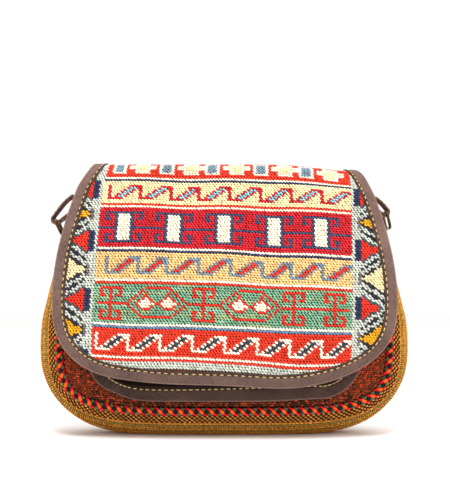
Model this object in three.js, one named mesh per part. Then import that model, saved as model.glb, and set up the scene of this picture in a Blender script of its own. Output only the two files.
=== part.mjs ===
// A small flap-over shoulder bag: a soft woven body with a deep ribbed gusset, a heavy patterned
// flap bound in canvas tape, a bound patch pocket under the flap, and a strap ring at each side.
// Millimetres, +Z up. The front faces -Y and the origin lies under the middle of the base.

import * as THREE from 'three';

// Seam outline: the line along which panels, gusset and piping are sewn together
const SEAM_HALF_WIDTH = 109;
const SEAM_FOOT = 17.5;
const SEAM_WIDEST = 77;
const SEAM_CORNER_POWER = 4.8;
const SIDE_TAPER_POWER = 1.15;
const MOUTH_HALF_WIDTH = 94;
const FRONT_MOUTH = 166;
const BACK_MOUTH = 158;

// Depth of the body, measured from a plane through its middle
const FRONT_REACH = 36;
const BACK_REACH = 35.7;
const BELLY_HEIGHT = 45;
const FRONT_LEAN = 36;
const LEAN_HEIGHT = 115;
const FRONT_BOW = 10;

// Cloth, tape and sewing
const WALL = 2.2;
const TAPE = 1.1;
const SEWN_GAP = 0.35;
const PIPING_RADIUS = 2.65;

// Gusset: how far it bulges outside the seam, and its ribs
const GUSSET_BULGE_FOOT = 19.5;
const GUSSET_BULGE_MOUTH = 10.6;
const GUSSET_CORNER_DRAW = 3.4;
const GUSSET_ROUNDNESS = 0.75;
const GUSSET_RIBS = 8;
const GUSSET_RIB = 0.6;

// Flap: outline along its own length, layers and weave
const FLAP_HALF_WIDTH = 113;
const FLAP_FOOT = 34;
const FLAP_CORNER_LENGTH = 60;
const FLAP_CORNER_POWER = 3.1;
const FLAP_TAPER_LENGTH = 157;
const FLAP_REAR_INSET = 6;
const FLAP_REAR_DROP = 30;
const FLAP_REAR_CORNER = 18;
const FLAP_CLOTH = 2;
const FLAP_LINING = 0.8;
const FLAP_TAPE_WIDTH = 11;
const WEAVE_PITCH = 7.4;
const WEAVE_RIDGE = 0.6;

// Patch pocket on the front panel
const POCKET_HALF_WIDTH = 86;
const POCKET_FOOT = 25.5;
const POCKET_TOP = 112;
const POCKET_CORNER = 28;
const POCKET_CLOTH = 1.6;
const POCKET_TRIM = 0.05;
const POCKET_TAPE_WIDTH = 10.5;

// Tape along the front panel's top edge
const MOUTH_TAPE_WIDTH = 8;

// Snap fastener between pocket and flap
const SNAP_HEIGHT = 60;
const SNAP_RADIUS = 9;
const SNAP_SOCKET = 2.6;
const SNAP_STUD = 1.8;
const SNAP_NUB_RADIUS = 2.7;
const SNAP_NUB = 1.4;
const SNAP_PLAY = 0.5;

// Strap tabs: drops are below the front of the mouth, reaches are outward from the gusset
const TAB_CLOTH = 1.6;
const TAB_WIDTH = 12;
const TAB_TOP_DROP = 4.5;
const TAB_LOWER_SEAT = 0.75;
const LEFT_FOLD_DROP = 19.4;
const LEFT_FOLD_REACH = 9.3;
const LEFT_LOWER_DROP = 15;
const RIGHT_FOLD_DROP = 13.8;
const RIGHT_FOLD_REACH = 6.2;
const RIGHT_LOWER_DROP = 11.5;

// Wire rings in the tabs: a lean is in degrees outward from the gusset's face below the fold
const RING_WIRE_RADIUS = 1.3;
const RING_CLEARANCE = 0.3;
const RING_DROP = 11.6;
const RING_CORNER = 3;
const RING_SIDE_PLAY = 1;
const LEFT_RING_LEAN = -39.6;
const RIGHT_RING_LEAN = -1.7;

// How finely the curved pieces are divided
const SEAM_STEPS = 40;
const TURN_WEIGHT = 45;
const PANEL_COLUMNS = 8;
const PANEL_ROWS = 15;
const CORNER_ROWS = 6;
const CROWD_START = 0.4;
const CROWD_POWER = 1.7;
const GUSSET_INNER_POINTS = 6;
const PIPING_SIDES = 7;
const FLAP_COLUMNS = 6;
const LINING_COLUMNS = 8;
const LINING_ROWS = 24;
const FLAP_BINDING_STEPS = 84;
const POCKET_BINDING_STEPS = 36;
const POCKET_ROWS = 8;
const MOUTH_STEPS = 8;
const SNAP_SEGMENTS = 14;
const RING_SIDES = 6;
const RING_CORNER_STEPS = 4;
const CURVE_SAMPLES = 60;
const TABLE_SAMPLES = 400;
const HALVINGS = 24;
const PROFILE_SPARE = 20;
const SEAM_BASE_SHARE = 0.6;
const SLOPE_PROBE = 0.01;
const MIDDLE = 0.5;

// Sizes that follow from the layers
const SEAM_ALLOWANCE = PIPING_RADIUS + SEWN_GAP;
const EDGE_ALLOWANCE = TAPE + SEWN_GAP;
const POCKET_BACK = SEWN_GAP + TAPE + SEWN_GAP;
const POCKET_FACE = POCKET_BACK + POCKET_CLOTH;
const SNAP_GAP = SEWN_GAP + SNAP_SOCKET + SEWN_GAP + SNAP_STUD + SNAP_PLAY;
const FLAP_LAYERS = FLAP_LINING + SEWN_GAP + FLAP_CLOTH;
const FLAP_STANDOFF = POCKET_FACE + SNAP_GAP + FLAP_LAYERS;
const FLAP_REAR_FACE = BACK_REACH + SEWN_GAP + EDGE_ALLOWANCE + FLAP_LAYERS;

const { lerp, clamp, smoothstep } = THREE.MathUtils;

// Closed meshes

function closedMesh(points, triangles) {
  const volume = triangles.reduce((sum, [a, b, c]) => {
    const cross = new THREE.Vector3().crossVectors(points[b], points[c]);
    return sum + points[a].dot(cross);
  }, 0);
  const facing = volume < 0 ? triangles.map(([a, b, c]) => [a, c, b]) : triangles;
  const geometry = new THREE.BufferGeometry().setFromPoints(points);
  geometry.setIndex(facing.flat());
  geometry.computeVertexNormals();
  return geometry;
}

// Skin a row of equal sections; an open row gets end caps, a loop runs back to its start.
// A section of cloth names how many of its points lie on its face, and its caps join face and back.
function loft(sections, loop, facePoints) {
  const size = sections[0].length;
  const points = sections.flat();
  const triangles = [];
  const bands = loop ? sections.length : sections.length - 1;
  for (let i = 0; i < bands; i += 1) {
    const here = i * size;
    const next = ((i + 1) % sections.length) * size;
    for (let j = 0; j < size; j += 1) {
      const k = (j + 1) % size;
      triangles.push([here + j, next + j, next + k]);
      triangles.push([here + j, next + k, here + k]);
    }
  }
  if (!loop) {
    const last = (sections.length - 1) * size;
    const cap = (section) => (facePoints ? clothCap(size, facePoints) : flatCap(section));
    for (const [a, b, c] of cap(sections[0])) {
      triangles.push([a, b, c]);
    }
    for (const [a, b, c] of cap(sections[sections.length - 1])) {
      triangles.push([last + a, last + c, last + b]);
    }
  }
  return closedMesh(points, triangles);
}

// Triangles between a section's face and its back, step by step across the cloth
function clothCap(size, facePoints) {
  const backPoints = size - facePoints;
  const triangles = [];
  let face = 0;
  let back = 0;
  while (face < facePoints - 1 || back < backPoints - 1) {
    const faceNext = (face + 1) / (facePoints - 1);
    const backNext = (back + 1) / (backPoints - 1);
    const here = size - 1 - back;
    if (faceNext <= backNext) {
      triangles.push([face, face + 1, here]);
      face += 1;
    } else {
      triangles.push([face, here - 1, here]);
      back += 1;
    }
  }
  return triangles;
}

// Triangles across a flat section
function flatCap(section) {
  const normal = new THREE.Vector3();
  section.forEach((point, i) => {
    normal.add(new THREE.Vector3().crossVectors(point, section[(i + 1) % section.length]));
  });
  const turn = new THREE.Quaternion().setFromUnitVectors(normal.normalize(), new THREE.Vector3(0, 0, 1));
  const flat = section.map((point) => {
    const turned = point.clone().applyQuaternion(turn);
    return new THREE.Vector2(turned.x, turned.y);
  });
  return THREE.ShapeUtils.triangulateShape(flat, []);
}

// Section of a sheet of cloth: across its face at one height and back across the other
function sheetSection(columns, face, back) {
  return [...columns.map(face), ...columns.slice().reverse().map(back)];
}

function columnsAcross(halfWidth, count) {
  return Array.from({ length: count + 1 }, (_, i) => lerp(-halfWidth, halfWidth, i / count));
}

// Heights that crowd towards the first one, where an outline turns in
function crowdedRows(from, to, count) {
  return Array.from({ length: count + 1 }, (_, i) => {
    const share = (i + CROWD_START) / (count + CROWD_START);
    return lerp(from, to, share ** CROWD_POWER);
  });
}

// Section of a tape folded over an edge, as [inward distance, height] from the edge's middle line
function tapeSection(width, low, high) {
  const rim = TAPE / 2;
  return [
    [width, high + TAPE],
    [rim, high + TAPE],
    [0, high],
    [0, low],
    [rim, low - TAPE],
    [width, low - TAPE],
    [width, low],
    [TAPE, low],
    [TAPE, high],
    [width, high],
  ];
}

// Fold a tape over an outline drawn on a surface; the outline is the tape's own outer edge
function boundEdge(curve, steps, section, surface, loop) {
  const onSurface = (share) => {
    const point = curve.getPointAt(share);
    return surface(point.x, point.y, 0);
  };
  const shares = stations(onSurface, steps).slice(0, loop ? -1 : undefined);
  const sections = shares.map((share) => {
    const { point, inward } = edgeFrame(curve, share);
    return section.map(([distance, height]) => {
      const place = point.clone().addScaledVector(inward, distance);
      return surface(place.x, place.y, height);
    });
  });
  return loft(sections, loop);
}

// Search by halving for the end of the stretch in which a test holds
function halve(from, to, holds) {
  let low = from;
  let high = to;
  for (let i = 0; i < HALVINGS; i += 1) {
    const middle = (low + high) / 2;
    if (holds(middle)) low = middle;
    else high = middle;
  }
  return high;
}

// Outlines

// A point of a curve that keeps its inside on its left, with the inward direction there
function edgeFrame(curve, share) {
  const tangent = curve.getTangentAt(share);
  return { point: curve.getPointAt(share), inward: new THREE.Vector2(-tangent.y, tangent.x) };
}

// Half-width of an outline at any height, after an inset all round
function insetWidths(curve, inset) {
  const rows = Array.from({ length: TABLE_SAMPLES + 1 }, (_, i) => edgeFrame(curve, i / TABLE_SAMPLES))
    .map(({ point, inward }) => point.clone().addScaledVector(inward, inset))
    .filter((point) => point.x >= 0)
    .sort((a, b) => a.y - b.y);
  const low = rows[0].y;
  const high = rows[rows.length - 1].y;
  const widthAt = (height) => {
    const above = rows.findIndex((point) => point.y >= height);
    if (above <= 0) return above === 0 ? rows[0].x : rows[rows.length - 1].x;
    const share = (height - rows[above - 1].y) / (rows[above].y - rows[above - 1].y || 1);
    return lerp(rows[above - 1].x, rows[above].x, share);
  };
  return { low, high, widthAt };
}

// Body seam, drawn in x and z from the left of the mouth round the base to the right
function seamPoint(share) {
  const side = share < MIDDLE ? -1 : 1;
  const along = Math.abs(share - MIDDLE) * 2;
  if (along > SEAM_BASE_SHARE) {
    const rise = (along - SEAM_BASE_SHARE) / (1 - SEAM_BASE_SHARE);
    const x = SEAM_HALF_WIDTH - (SEAM_HALF_WIDTH - MOUTH_HALF_WIDTH) * rise ** SIDE_TAPER_POWER;
    return new THREE.Vector2(side * x, lerp(SEAM_WIDEST, FRONT_MOUTH, rise));
  }
  const angle = (along / SEAM_BASE_SHARE) * Math.PI / 2;
  const power = 2 / SEAM_CORNER_POWER;
  const x = SEAM_HALF_WIDTH * Math.sin(angle) ** power;
  const z = SEAM_WIDEST - (SEAM_WIDEST - SEAM_FOOT) * Math.abs(Math.cos(angle)) ** power;
  return new THREE.Vector2(side * x, z);
}

function curveThrough(pointAt, samples) {
  const curve = new THREE.SplineCurve(Array.from({ length: samples + 1 }, (_, i) => pointAt(i / samples)));
  curve.arcLengthDivisions = TABLE_SAMPLES;
  return curve;
}

const SEAM = curveThrough(seamPoint, CURVE_SAMPLES * 2);

// Shares of a path for its sections: each step is shorter where the path turns
function stations(pointAt, steps) {
  const samples = Array.from({ length: TABLE_SAMPLES + 1 }, (_, i) => pointAt(i / TABLE_SAMPLES));
  const moves = samples.slice(1).map((point, i) => point.clone().sub(samples[i]));
  const reach = [0];
  moves.forEach((move, i) => {
    const turn = i ? move.angleTo(moves[i - 1]) : 0;
    reach.push(reach[i] + move.length() + TURN_WEIGHT * turn);
  });
  return Array.from({ length: steps + 1 }, (_, k) => {
    const target = reach[TABLE_SAMPLES] * k / steps;
    const at = Math.max(reach.findIndex((value) => value >= target), 1);
    const share = (target - reach[at - 1]) / (reach[at] - reach[at - 1]);
    return (at - 1 + share) / TABLE_SAMPLES;
  });
}

const SEAM_STATIONS = stations((share) => SEAM.getPoint(share), SEAM_STEPS);

// The mouth is lower at the back: heights above the widest point are drawn down from front to back
function mouthDrop(z, depthShare) {
  if (z <= SEAM_WIDEST) return z;
  const mouth = lerp(FRONT_MOUTH, BACK_MOUTH, depthShare);
  return SEAM_WIDEST + (z - SEAM_WIDEST) * (mouth - SEAM_WIDEST) / (FRONT_MOUTH - SEAM_WIDEST);
}

// Front surface: a belly that leans back towards the mouth, with its sides bowed back

function frontSlope(z) {
  return 2 * FRONT_LEAN * (z - BELLY_HEIGHT) / LEAN_HEIGHT ** 2;
}

function frontDepth(x, z) {
  const lean = FRONT_LEAN * ((z - BELLY_HEIGHT) / LEAN_HEIGHT) ** 2;
  return -FRONT_REACH + lean + FRONT_BOW * (x / SEAM_HALF_WIDTH) ** 2;
}

function frontNormal(z) {
  return new THREE.Vector3(0, -1, frontSlope(z)).normalize();
}

// A point at a height in front of the front panel's outer face
function onFront(x, z, height) {
  return new THREE.Vector3(x, frontDepth(x, z), z).addScaledVector(frontNormal(z), height);
}

function onBack(x, z, height) {
  return new THREE.Vector3(x, BACK_REACH + height, z);
}

// Panels: rows crowd towards the base, where the outline turns in
function panel(surface, depthShare, trim) {
  const curve = curveThrough((share) => {
    const point = SEAM.getPoint(share);
    return new THREE.Vector2(point.x, mouthDrop(point.y, depthShare));
  }, CURVE_SAMPLES * 2);
  const outline = insetWidths(curve, SEAM_ALLOWANCE);
  const high = lerp(FRONT_MOUTH, BACK_MOUTH, depthShare) - trim;
  const sections = crowdedRows(outline.low, high, PANEL_ROWS).map((z) => {
    const columns = columnsAcross(outline.widthAt(z), PANEL_COLUMNS);
    return sheetSection(columns, (x) => surface(x, z, 0), (x) => surface(x, z, -WALL));
  });
  return loft(sections, false, PANEL_COLUMNS + 1);
}

// Gusset: across the bag it swells out of the seam; its base is pressed flat on the ground

// It swells less towards the mouth, and where it is drawn round a corner
function gussetBulge(seamShare) {
  const rise = (SEAM.getPoint(seamShare).y - SEAM_FOOT) / (FRONT_MOUTH - SEAM_FOOT);
  const tangent = SEAM.getTangent(seamShare);
  const corner = 2 * Math.abs(tangent.x * tangent.y);
  return lerp(GUSSET_BULGE_FOOT, GUSSET_BULGE_MOUTH, clamp(rise, 0, 1)) - GUSSET_CORNER_DRAW * corner;
}

function gussetSwell(seamShare, depthShare) {
  return gussetBulge(seamShare) * Math.sin(Math.PI * depthShare) ** GUSSET_ROUNDNESS;
}

// Share of the depth at which the gusset's edge lies against the piping
function gussetEdge(seamShare) {
  const seam = SEAM.getPoint(seamShare);
  const depth = BACK_REACH - frontDepth(seam.x, seam.y);
  const reach = (share) => Math.hypot(share * depth, gussetSwell(seamShare, share));
  return halve(0, MIDDLE, (share) => reach(share) < SEAM_ALLOWANCE);
}

// A point of the gusset at a share of the seam's length and of the bag's depth
function onGusset(seamShare, depthShare, height) {
  const seam = SEAM.getPoint(seamShare);
  const tangent = SEAM.getTangent(seamShare);
  const front = frontDepth(seam.x, seam.y);
  const depth = BACK_REACH - front;
  const swell = (share) => gussetSwell(seamShare, clamp(share, 0, 1));
  const climb = swell(depthShare + SLOPE_PROBE) - swell(depthShare - SLOPE_PROBE);
  const rise = climb / (2 * SLOPE_PROBE * depth);
  const across = -rise / Math.hypot(1, rise);
  const outward = 1 / Math.hypot(1, rise);
  const out = swell(depthShare) + height * outward;
  const z = mouthDrop(seam.y, depthShare) - tangent.x * out;
  const ground = height < 0 ? -height : 0;
  const y = front + depth * depthShare + height * across;
  return new THREE.Vector3(seam.x + tangent.y * out, y, Math.max(z, ground));
}

function gusset() {
  const ribPoints = GUSSET_RIBS * 2 + 1;
  const sections = SEAM_STATIONS.map((along) => {
    const trim = gussetEdge(along);
    const outer = Array.from({ length: ribPoints }, (_o, j) => {
      const share = lerp(trim, 1 - trim, j / (ribPoints - 1));
      return onGusset(along, share, j % 2 ? GUSSET_RIB : 0);
    });
    const inner = Array.from({ length: GUSSET_INNER_POINTS }, (_n, j) => {
      const share = lerp(1 - trim, trim, j / (GUSSET_INNER_POINTS - 1));
      return onGusset(along, share, -WALL);
    });
    return [...outer, ...inner];
  });
  return loft(sections, false, ribPoints);
}

// Piping: a round cord that lies in the seam
function piping(depthShare) {
  const route = SEAM_STATIONS.map((along) => {
    const seam = SEAM.getPoint(along);
    const y = depthShare ? BACK_REACH : frontDepth(seam.x, seam.y);
    return new THREE.Vector3(seam.x, y, mouthDrop(seam.y, depthShare));
  });
  return roundSweep(route, PIPING_RADIUS, PIPING_SIDES, new THREE.Vector3(0, 1, 0), false);
}

// A round bar along a route; the section's first axis stays across the given direction
function roundSweep(route, radius, sides, upright, loop) {
  const last = route.length - 1;
  const sections = route.map((point, i) => {
    const before = loop ? route[(i + last) % route.length] : route[Math.max(i - 1, 0)];
    const after = loop ? route[(i + 1) % route.length] : route[Math.min(i + 1, last)];
    const tangent = after.clone().sub(before).normalize();
    const across = new THREE.Vector3().crossVectors(tangent, upright).normalize();
    const up = new THREE.Vector3().crossVectors(across, tangent);
    return Array.from({ length: sides }, (_, j) => {
      const angle = (j / sides) * Math.PI * 2;
      return point.clone()
        .addScaledVector(across, radius * Math.cos(angle))
        .addScaledVector(up, radius * Math.sin(angle));
    });
  });
  return loft(sections, loop);
}

// Flap: its face follows the front panel at a distance, folds over the top and lies on the back

const FOLD_NORMAL = frontNormal(FRONT_MOUTH);
const FOLD_START = onFront(0, FRONT_MOUTH, FLAP_STANDOFF);
const FOLD_RADIUS = (FLAP_REAR_FACE - FOLD_START.y) / (1 - FOLD_NORMAL.y);
const FOLD_CENTRE = FOLD_START.clone().addScaledVector(FOLD_NORMAL, -FOLD_RADIUS);
const FOLD_ANGLE = Math.atan2(FOLD_NORMAL.z, FOLD_NORMAL.y);

function flapProfile() {
  const points = [];
  const frontSteps = 30;
  for (let i = 0; i < frontSteps; i += 1) {
    const z = lerp(FLAP_FOOT - PROFILE_SPARE, FRONT_MOUTH, i / frontSteps);
    const place = onFront(0, z, FLAP_STANDOFF);
    points.push(new THREE.Vector2(place.y, place.z));
  }
  const foldSteps = 24;
  for (let i = 0; i < foldSteps; i += 1) {
    const angle = lerp(FOLD_ANGLE, 0, i / foldSteps);
    const y = FOLD_CENTRE.y + FOLD_RADIUS * Math.cos(angle);
    points.push(new THREE.Vector2(y, FOLD_CENTRE.z + FOLD_RADIUS * Math.sin(angle)));
  }
  const rearSteps = 6;
  for (let i = 0; i <= rearSteps; i += 1) {
    const z = FOLD_CENTRE.z - (FLAP_REAR_DROP + PROFILE_SPARE) * i / rearSteps;
    points.push(new THREE.Vector2(FLAP_REAR_FACE, z));
  }
  const curve = new THREE.SplineCurve(points);
  curve.arcLengthDivisions = TABLE_SAMPLES * 2;
  return curve;
}

const PROFILE = flapProfile();
const PROFILE_LENGTH = PROFILE.getLength();
const FLAP_START = flapStart();
const FLAP_LENGTH = PROFILE_LENGTH - PROFILE_SPARE - FLAP_START;
const FOLD_TO = FLAP_LENGTH - FLAP_REAR_DROP;
const FOLD_FROM = FOLD_TO - FOLD_RADIUS * FOLD_ANGLE;

// Length along the profile at which the flap's lower edge lies
function flapStart() {
  const foot = onFront(0, FLAP_FOOT, FLAP_STANDOFF);
  const steps = TABLE_SAMPLES * 2;
  const lengths = PROFILE.getLengths(steps);
  const at = lengths.findIndex((_, i) => PROFILE.getPoint(i / steps).y >= foot.z);
  return lengths[at];
}

// A point at a distance along the flap from its lower edge and a height over its face
function onFlap(x, along, height) {
  const share = clamp((along + FLAP_START) / PROFILE_LENGTH, 0, 1);
  const point = PROFILE.getPointAt(share);
  const tangent = PROFILE.getTangentAt(share);
  const bowShare = 1 - smoothstep(along, FOLD_FROM / 2, FOLD_TO);
  const y = point.x - tangent.y * height + FRONT_BOW * bowShare * (x / SEAM_HALF_WIDTH) ** 2;
  return new THREE.Vector3(x, y, point.y + tangent.x * height);
}

// Flap outline in x and length along the flap, right round from the middle of the lower edge
function flapOutline() {
  const rearHalfWidth = MOUTH_HALF_WIDTH - FLAP_REAR_INSET;
  const taper = (along) => {
    const share = clamp((along - FLAP_CORNER_LENGTH) / FLAP_TAPER_LENGTH, 0, 1);
    return lerp(rearHalfWidth, FLAP_HALF_WIDTH, (1 + Math.cos(Math.PI * share)) / 2);
  };
  const half = [];
  const cornerSteps = 18;
  const power = 2 / FLAP_CORNER_POWER;
  for (let i = 0; i < cornerSteps; i += 1) {
    const angle = (i / cornerSteps) * Math.PI / 2;
    const along = FLAP_CORNER_LENGTH * (1 - Math.cos(angle) ** power);
    half.push(new THREE.Vector2(FLAP_HALF_WIDTH * Math.sin(angle) ** power, along));
  }
  const sideSteps = 16;
  const sideEnd = FLAP_LENGTH - FLAP_REAR_CORNER;
  for (let i = 0; i < sideSteps; i += 1) {
    const along = lerp(FLAP_CORNER_LENGTH, sideEnd, i / sideSteps);
    half.push(new THREE.Vector2(taper(along), along));
  }
  const turnSteps = 6;
  for (let i = 0; i <= turnSteps; i += 1) {
    const angle = (i / turnSteps) * Math.PI / 2;
    const x = taper(sideEnd) - FLAP_REAR_CORNER * (1 - Math.cos(angle));
    half.push(new THREE.Vector2(x, sideEnd + FLAP_REAR_CORNER * Math.sin(angle)));
  }
  const rearSteps = 5;
  const rearSide = half[half.length - 1].x;
  for (let i = 1; i <= rearSteps; i += 1) {
    half.push(new THREE.Vector2(rearSide * (1 - i / rearSteps), FLAP_LENGTH));
  }
  const mirrored = half.slice(1, -1).reverse().map((point) => new THREE.Vector2(-point.x, point.y));
  const curve = new THREE.SplineCurve([...half, ...mirrored, half[0].clone()]);
  curve.arcLengthDivisions = TABLE_SAMPLES * 2;
  return curve;
}

const FLAP_OUTLINE = flapOutline();
const FLAP_INSIDE = insetWidths(FLAP_OUTLINE, EDGE_ALLOWANCE);
const FLAP_FIELD = insetWidths(FLAP_OUTLINE, FLAP_TAPE_WIDTH + SEWN_GAP);

// Rows under the tape at both ends of the flap, which crowd where the outline turns in
const FLAP_LOWER_ROWS = crowdedRows(FLAP_INSIDE.low, FLAP_FIELD.low, CORNER_ROWS);
const FLAP_REAR_ROWS = crowdedRows(FLAP_INSIDE.high, FLAP_FIELD.high, CORNER_ROWS).reverse();

// The weave stands up in ridges across the field, and lies flat where the tape covers it
function flapCloth() {
  const ridges = Math.round((FLAP_FIELD.high - FLAP_FIELD.low) / WEAVE_PITCH);
  const weave = Array.from({ length: ridges * 2 - 1 }, (_, i) => {
    return lerp(FLAP_FIELD.low, FLAP_FIELD.high, (i + 1) / (ridges * 2));
  });
  const section = (along, ridge) => {
    const halfWidth = FLAP_INSIDE.widthAt(along);
    const field = FLAP_FIELD.widthAt(along);
    const columns = [-halfWidth, ...columnsAcross(field, FLAP_COLUMNS), halfWidth];
    const top = columns.map((x) => onFlap(x, along, Math.abs(x) < field ? ridge : 0));
    const under = columnsAcross(halfWidth, LINING_COLUMNS).reverse();
    return [...top, ...under.map((x) => onFlap(x, along, -FLAP_CLOTH))];
  };
  return loft([
    ...FLAP_LOWER_ROWS.map((along) => section(along, 0)),
    ...weave.map((along, i) => section(along, i % 2 ? 0 : WEAVE_RIDGE)),
    ...FLAP_REAR_ROWS.map((along) => section(along, 0)),
  ], false, FLAP_COLUMNS + 3);
}

function flapLining() {
  const top = -FLAP_CLOTH - SEWN_GAP;
  const length = FLAP_FIELD.high - FLAP_FIELD.low;
  const middleRows = stations((share) => onFlap(0, FLAP_FIELD.low + share * length, 0), LINING_ROWS)
    .slice(1, -1)
    .map((share) => FLAP_FIELD.low + share * length);
  const sections = [...FLAP_LOWER_ROWS, ...middleRows, ...FLAP_REAR_ROWS].map((along) => {
    const columns = columnsAcross(FLAP_INSIDE.widthAt(along), LINING_COLUMNS);
    return sheetSection(
      columns,
      (x) => onFlap(x, along, top),
      (x) => onFlap(x, along, top - FLAP_LINING),
    );
  });
  return loft(sections, false, LINING_COLUMNS + 1);
}

function flapBinding() {
  const section = tapeSection(FLAP_TAPE_WIDTH, -FLAP_LAYERS - SEWN_GAP, SEWN_GAP);
  return boundEdge(FLAP_OUTLINE, FLAP_BINDING_STEPS, section, onFlap, true);
}

// Patch pocket

function pocketOutline() {
  const shape = new THREE.Shape();
  const side = POCKET_HALF_WIDTH - POCKET_CORNER;
  const quarter = Math.PI / 2;
  shape.moveTo(0, POCKET_FOOT);
  shape.lineTo(side, POCKET_FOOT);
  shape.absarc(side, POCKET_FOOT + POCKET_CORNER, POCKET_CORNER, -quarter, 0, false);
  shape.absarc(side, POCKET_TOP - POCKET_CORNER, POCKET_CORNER, 0, quarter, false);
  shape.absarc(-side, POCKET_TOP - POCKET_CORNER, POCKET_CORNER, quarter, Math.PI, false);
  shape.absarc(-side, POCKET_FOOT + POCKET_CORNER, POCKET_CORNER, Math.PI, 3 * quarter, false);
  shape.lineTo(0, POCKET_FOOT);
  return shape;
}

function pocketPanel() {
  const inside = insetWidths(pocketOutline(), EDGE_ALLOWANCE);
  const middle = (inside.low + inside.high) / 2;
  const rise = middle - inside.low - POCKET_TRIM;
  const sections = Array.from({ length: POCKET_ROWS + 1 }, (_, i) => {
    const angle = lerp(-1, 1, i / POCKET_ROWS) * Math.PI / 2;
    const z = middle + rise * Math.sin(angle);
    const columns = columnsAcross(inside.widthAt(z), PANEL_COLUMNS);
    return sheetSection(columns, (x) => onFront(x, z, POCKET_FACE), (x) => onFront(x, z, POCKET_BACK));
  });
  return loft(sections, false, PANEL_COLUMNS + 1);
}

function pocketBinding() {
  const section = tapeSection(POCKET_TAPE_WIDTH, POCKET_BACK - SEWN_GAP, POCKET_FACE + SEWN_GAP);
  return boundEdge(pocketOutline(), POCKET_BINDING_STEPS, section, onFront, true);
}

function mouthBinding() {
  const halfWidth = insetWidths(SEAM, SEAM_ALLOWANCE).widthAt(FRONT_MOUTH);
  const edge = new THREE.LineCurve(
    new THREE.Vector2(halfWidth, FRONT_MOUTH),
    new THREE.Vector2(-halfWidth, FRONT_MOUTH),
  );
  const section = tapeSection(MOUTH_TAPE_WIDTH, -WALL - SEWN_GAP, SEWN_GAP);
  return boundEdge(edge, MOUTH_STEPS, section, onFront, false);
}

// Snap fastener: each half is turned about the panel's outward direction

function snapSocket() {
  const well = SNAP_NUB_RADIUS + SEWN_GAP;
  const floor = SNAP_SOCKET - SNAP_NUB - SEWN_GAP;
  return new THREE.LatheGeometry([
    new THREE.Vector2(0, 0),
    new THREE.Vector2(SNAP_RADIUS, 0),
    new THREE.Vector2(SNAP_RADIUS, SNAP_SOCKET),
    new THREE.Vector2(well, SNAP_SOCKET),
    new THREE.Vector2(well, floor),
    new THREE.Vector2(0, floor),
  ], SNAP_SEGMENTS);
}

function snapStud() {
  return new THREE.LatheGeometry([
    new THREE.Vector2(0, -SNAP_NUB),
    new THREE.Vector2(SNAP_NUB_RADIUS, -SNAP_NUB),
    new THREE.Vector2(SNAP_NUB_RADIUS, 0),
    new THREE.Vector2(SNAP_RADIUS, 0),
    new THREE.Vector2(SNAP_RADIUS, SNAP_STUD),
    new THREE.Vector2(0, SNAP_STUD),
  ], SNAP_SEGMENTS);
}

function onSnap(mesh, height) {
  mesh.position.copy(onFront(0, SNAP_HEIGHT, height));
  mesh.quaternion.setFromUnitVectors(new THREE.Vector3(0, 1, 0), frontNormal(SNAP_HEIGHT));
  return mesh;
}

// Strap tabs and rings

const TABS = [
  {
    name: 'left',
    side: -1,
    fold: FRONT_MOUTH - LEFT_FOLD_DROP,
    reach: LEFT_FOLD_REACH,
    lower: FRONT_MOUTH - LEFT_LOWER_DROP,
    lean: LEFT_RING_LEAN,
  },
  {
    name: 'right',
    side: 1,
    fold: FRONT_MOUTH - RIGHT_FOLD_DROP,
    reach: RIGHT_FOLD_REACH,
    lower: FRONT_MOUTH - RIGHT_LOWER_DROP,
    lean: RIGHT_RING_LEAN,
  },
];

// The gusset's outer face at a height, half way through its depth on the right
function gussetFace(height) {
  const share = halve(MIDDLE, 1, (along) => onGusset(along, MIDDLE, GUSSET_RIB).z < height);
  return onGusset(share, MIDDLE, GUSSET_RIB);
}

// Where the ring's bar lies in the fold of its tab, on the right
function foldCentre(tab) {
  const face = gussetFace(tab.fold);
  return new THREE.Vector3(face.x + tab.reach, face.y, tab.fold);
}

// Angle by which the gusset's face leans outward beside a hanging ring
function faceLean(tab) {
  const above = gussetFace(tab.fold);
  const below = gussetFace(tab.fold - RING_DROP);
  return Math.atan2(below.x - above.x, RING_DROP);
}

// Angle at which a line from a point outside a circle touches it
function touchAngle(point, centre, radius, turn) {
  const reach = point.clone().sub(centre);
  return reach.angle() + turn * Math.acos(radius / reach.length());
}

// A strip that leaves the gusset, passes round the ring's bar and comes back under it
function tabShape(tab) {
  const fold = foldCentre(tab);
  const centre = new THREE.Vector2(fold.x, fold.z);
  const radius = RING_WIRE_RADIUS + RING_CLEARANCE + TAB_CLOTH / 2;
  const top = FRONT_MOUTH - TAB_TOP_DROP;
  const upper = new THREE.Vector2(gussetFace(top).x + SEWN_GAP + TAB_CLOTH / 2, top);
  const lower = new THREE.Vector2(gussetFace(tab.lower).x + TAB_LOWER_SEAT, tab.lower);
  const from = touchAngle(upper, centre, radius, -1);
  const to = touchAngle(lower, centre, radius, 1) - Math.PI * 2;
  const middle = [upper];
  const steps = 8;
  for (let i = 0; i <= steps; i += 1) {
    const angle = lerp(from, to, i / steps);
    middle.push(new THREE.Vector2(Math.cos(angle), Math.sin(angle)).multiplyScalar(radius).add(centre));
  }
  middle.push(lower);
  const offset = (distance) => middle.map((point, i) => {
    const before = middle[Math.max(i - 1, 0)];
    const after = middle[Math.min(i + 1, middle.length - 1)];
    const along = after.clone().sub(before).normalize();
    return point.clone().add(new THREE.Vector2(-along.y, along.x).multiplyScalar(distance));
  });
  const band = [...offset(TAB_CLOTH / 2), ...offset(-TAB_CLOTH / 2).reverse()];
  return new THREE.Shape(band.map((point) => new THREE.Vector2(tab.side * point.x, point.y)));
}

function tabGeometry(tab) {
  const geometry = new THREE.ExtrudeGeometry(tabShape(tab), { depth: TAB_WIDTH, bevelEnabled: false });
  geometry.rotateX(Math.PI / 2);
  geometry.translate(0, foldCentre(tab).y + TAB_WIDTH / 2, 0);
  return geometry;
}

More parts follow.
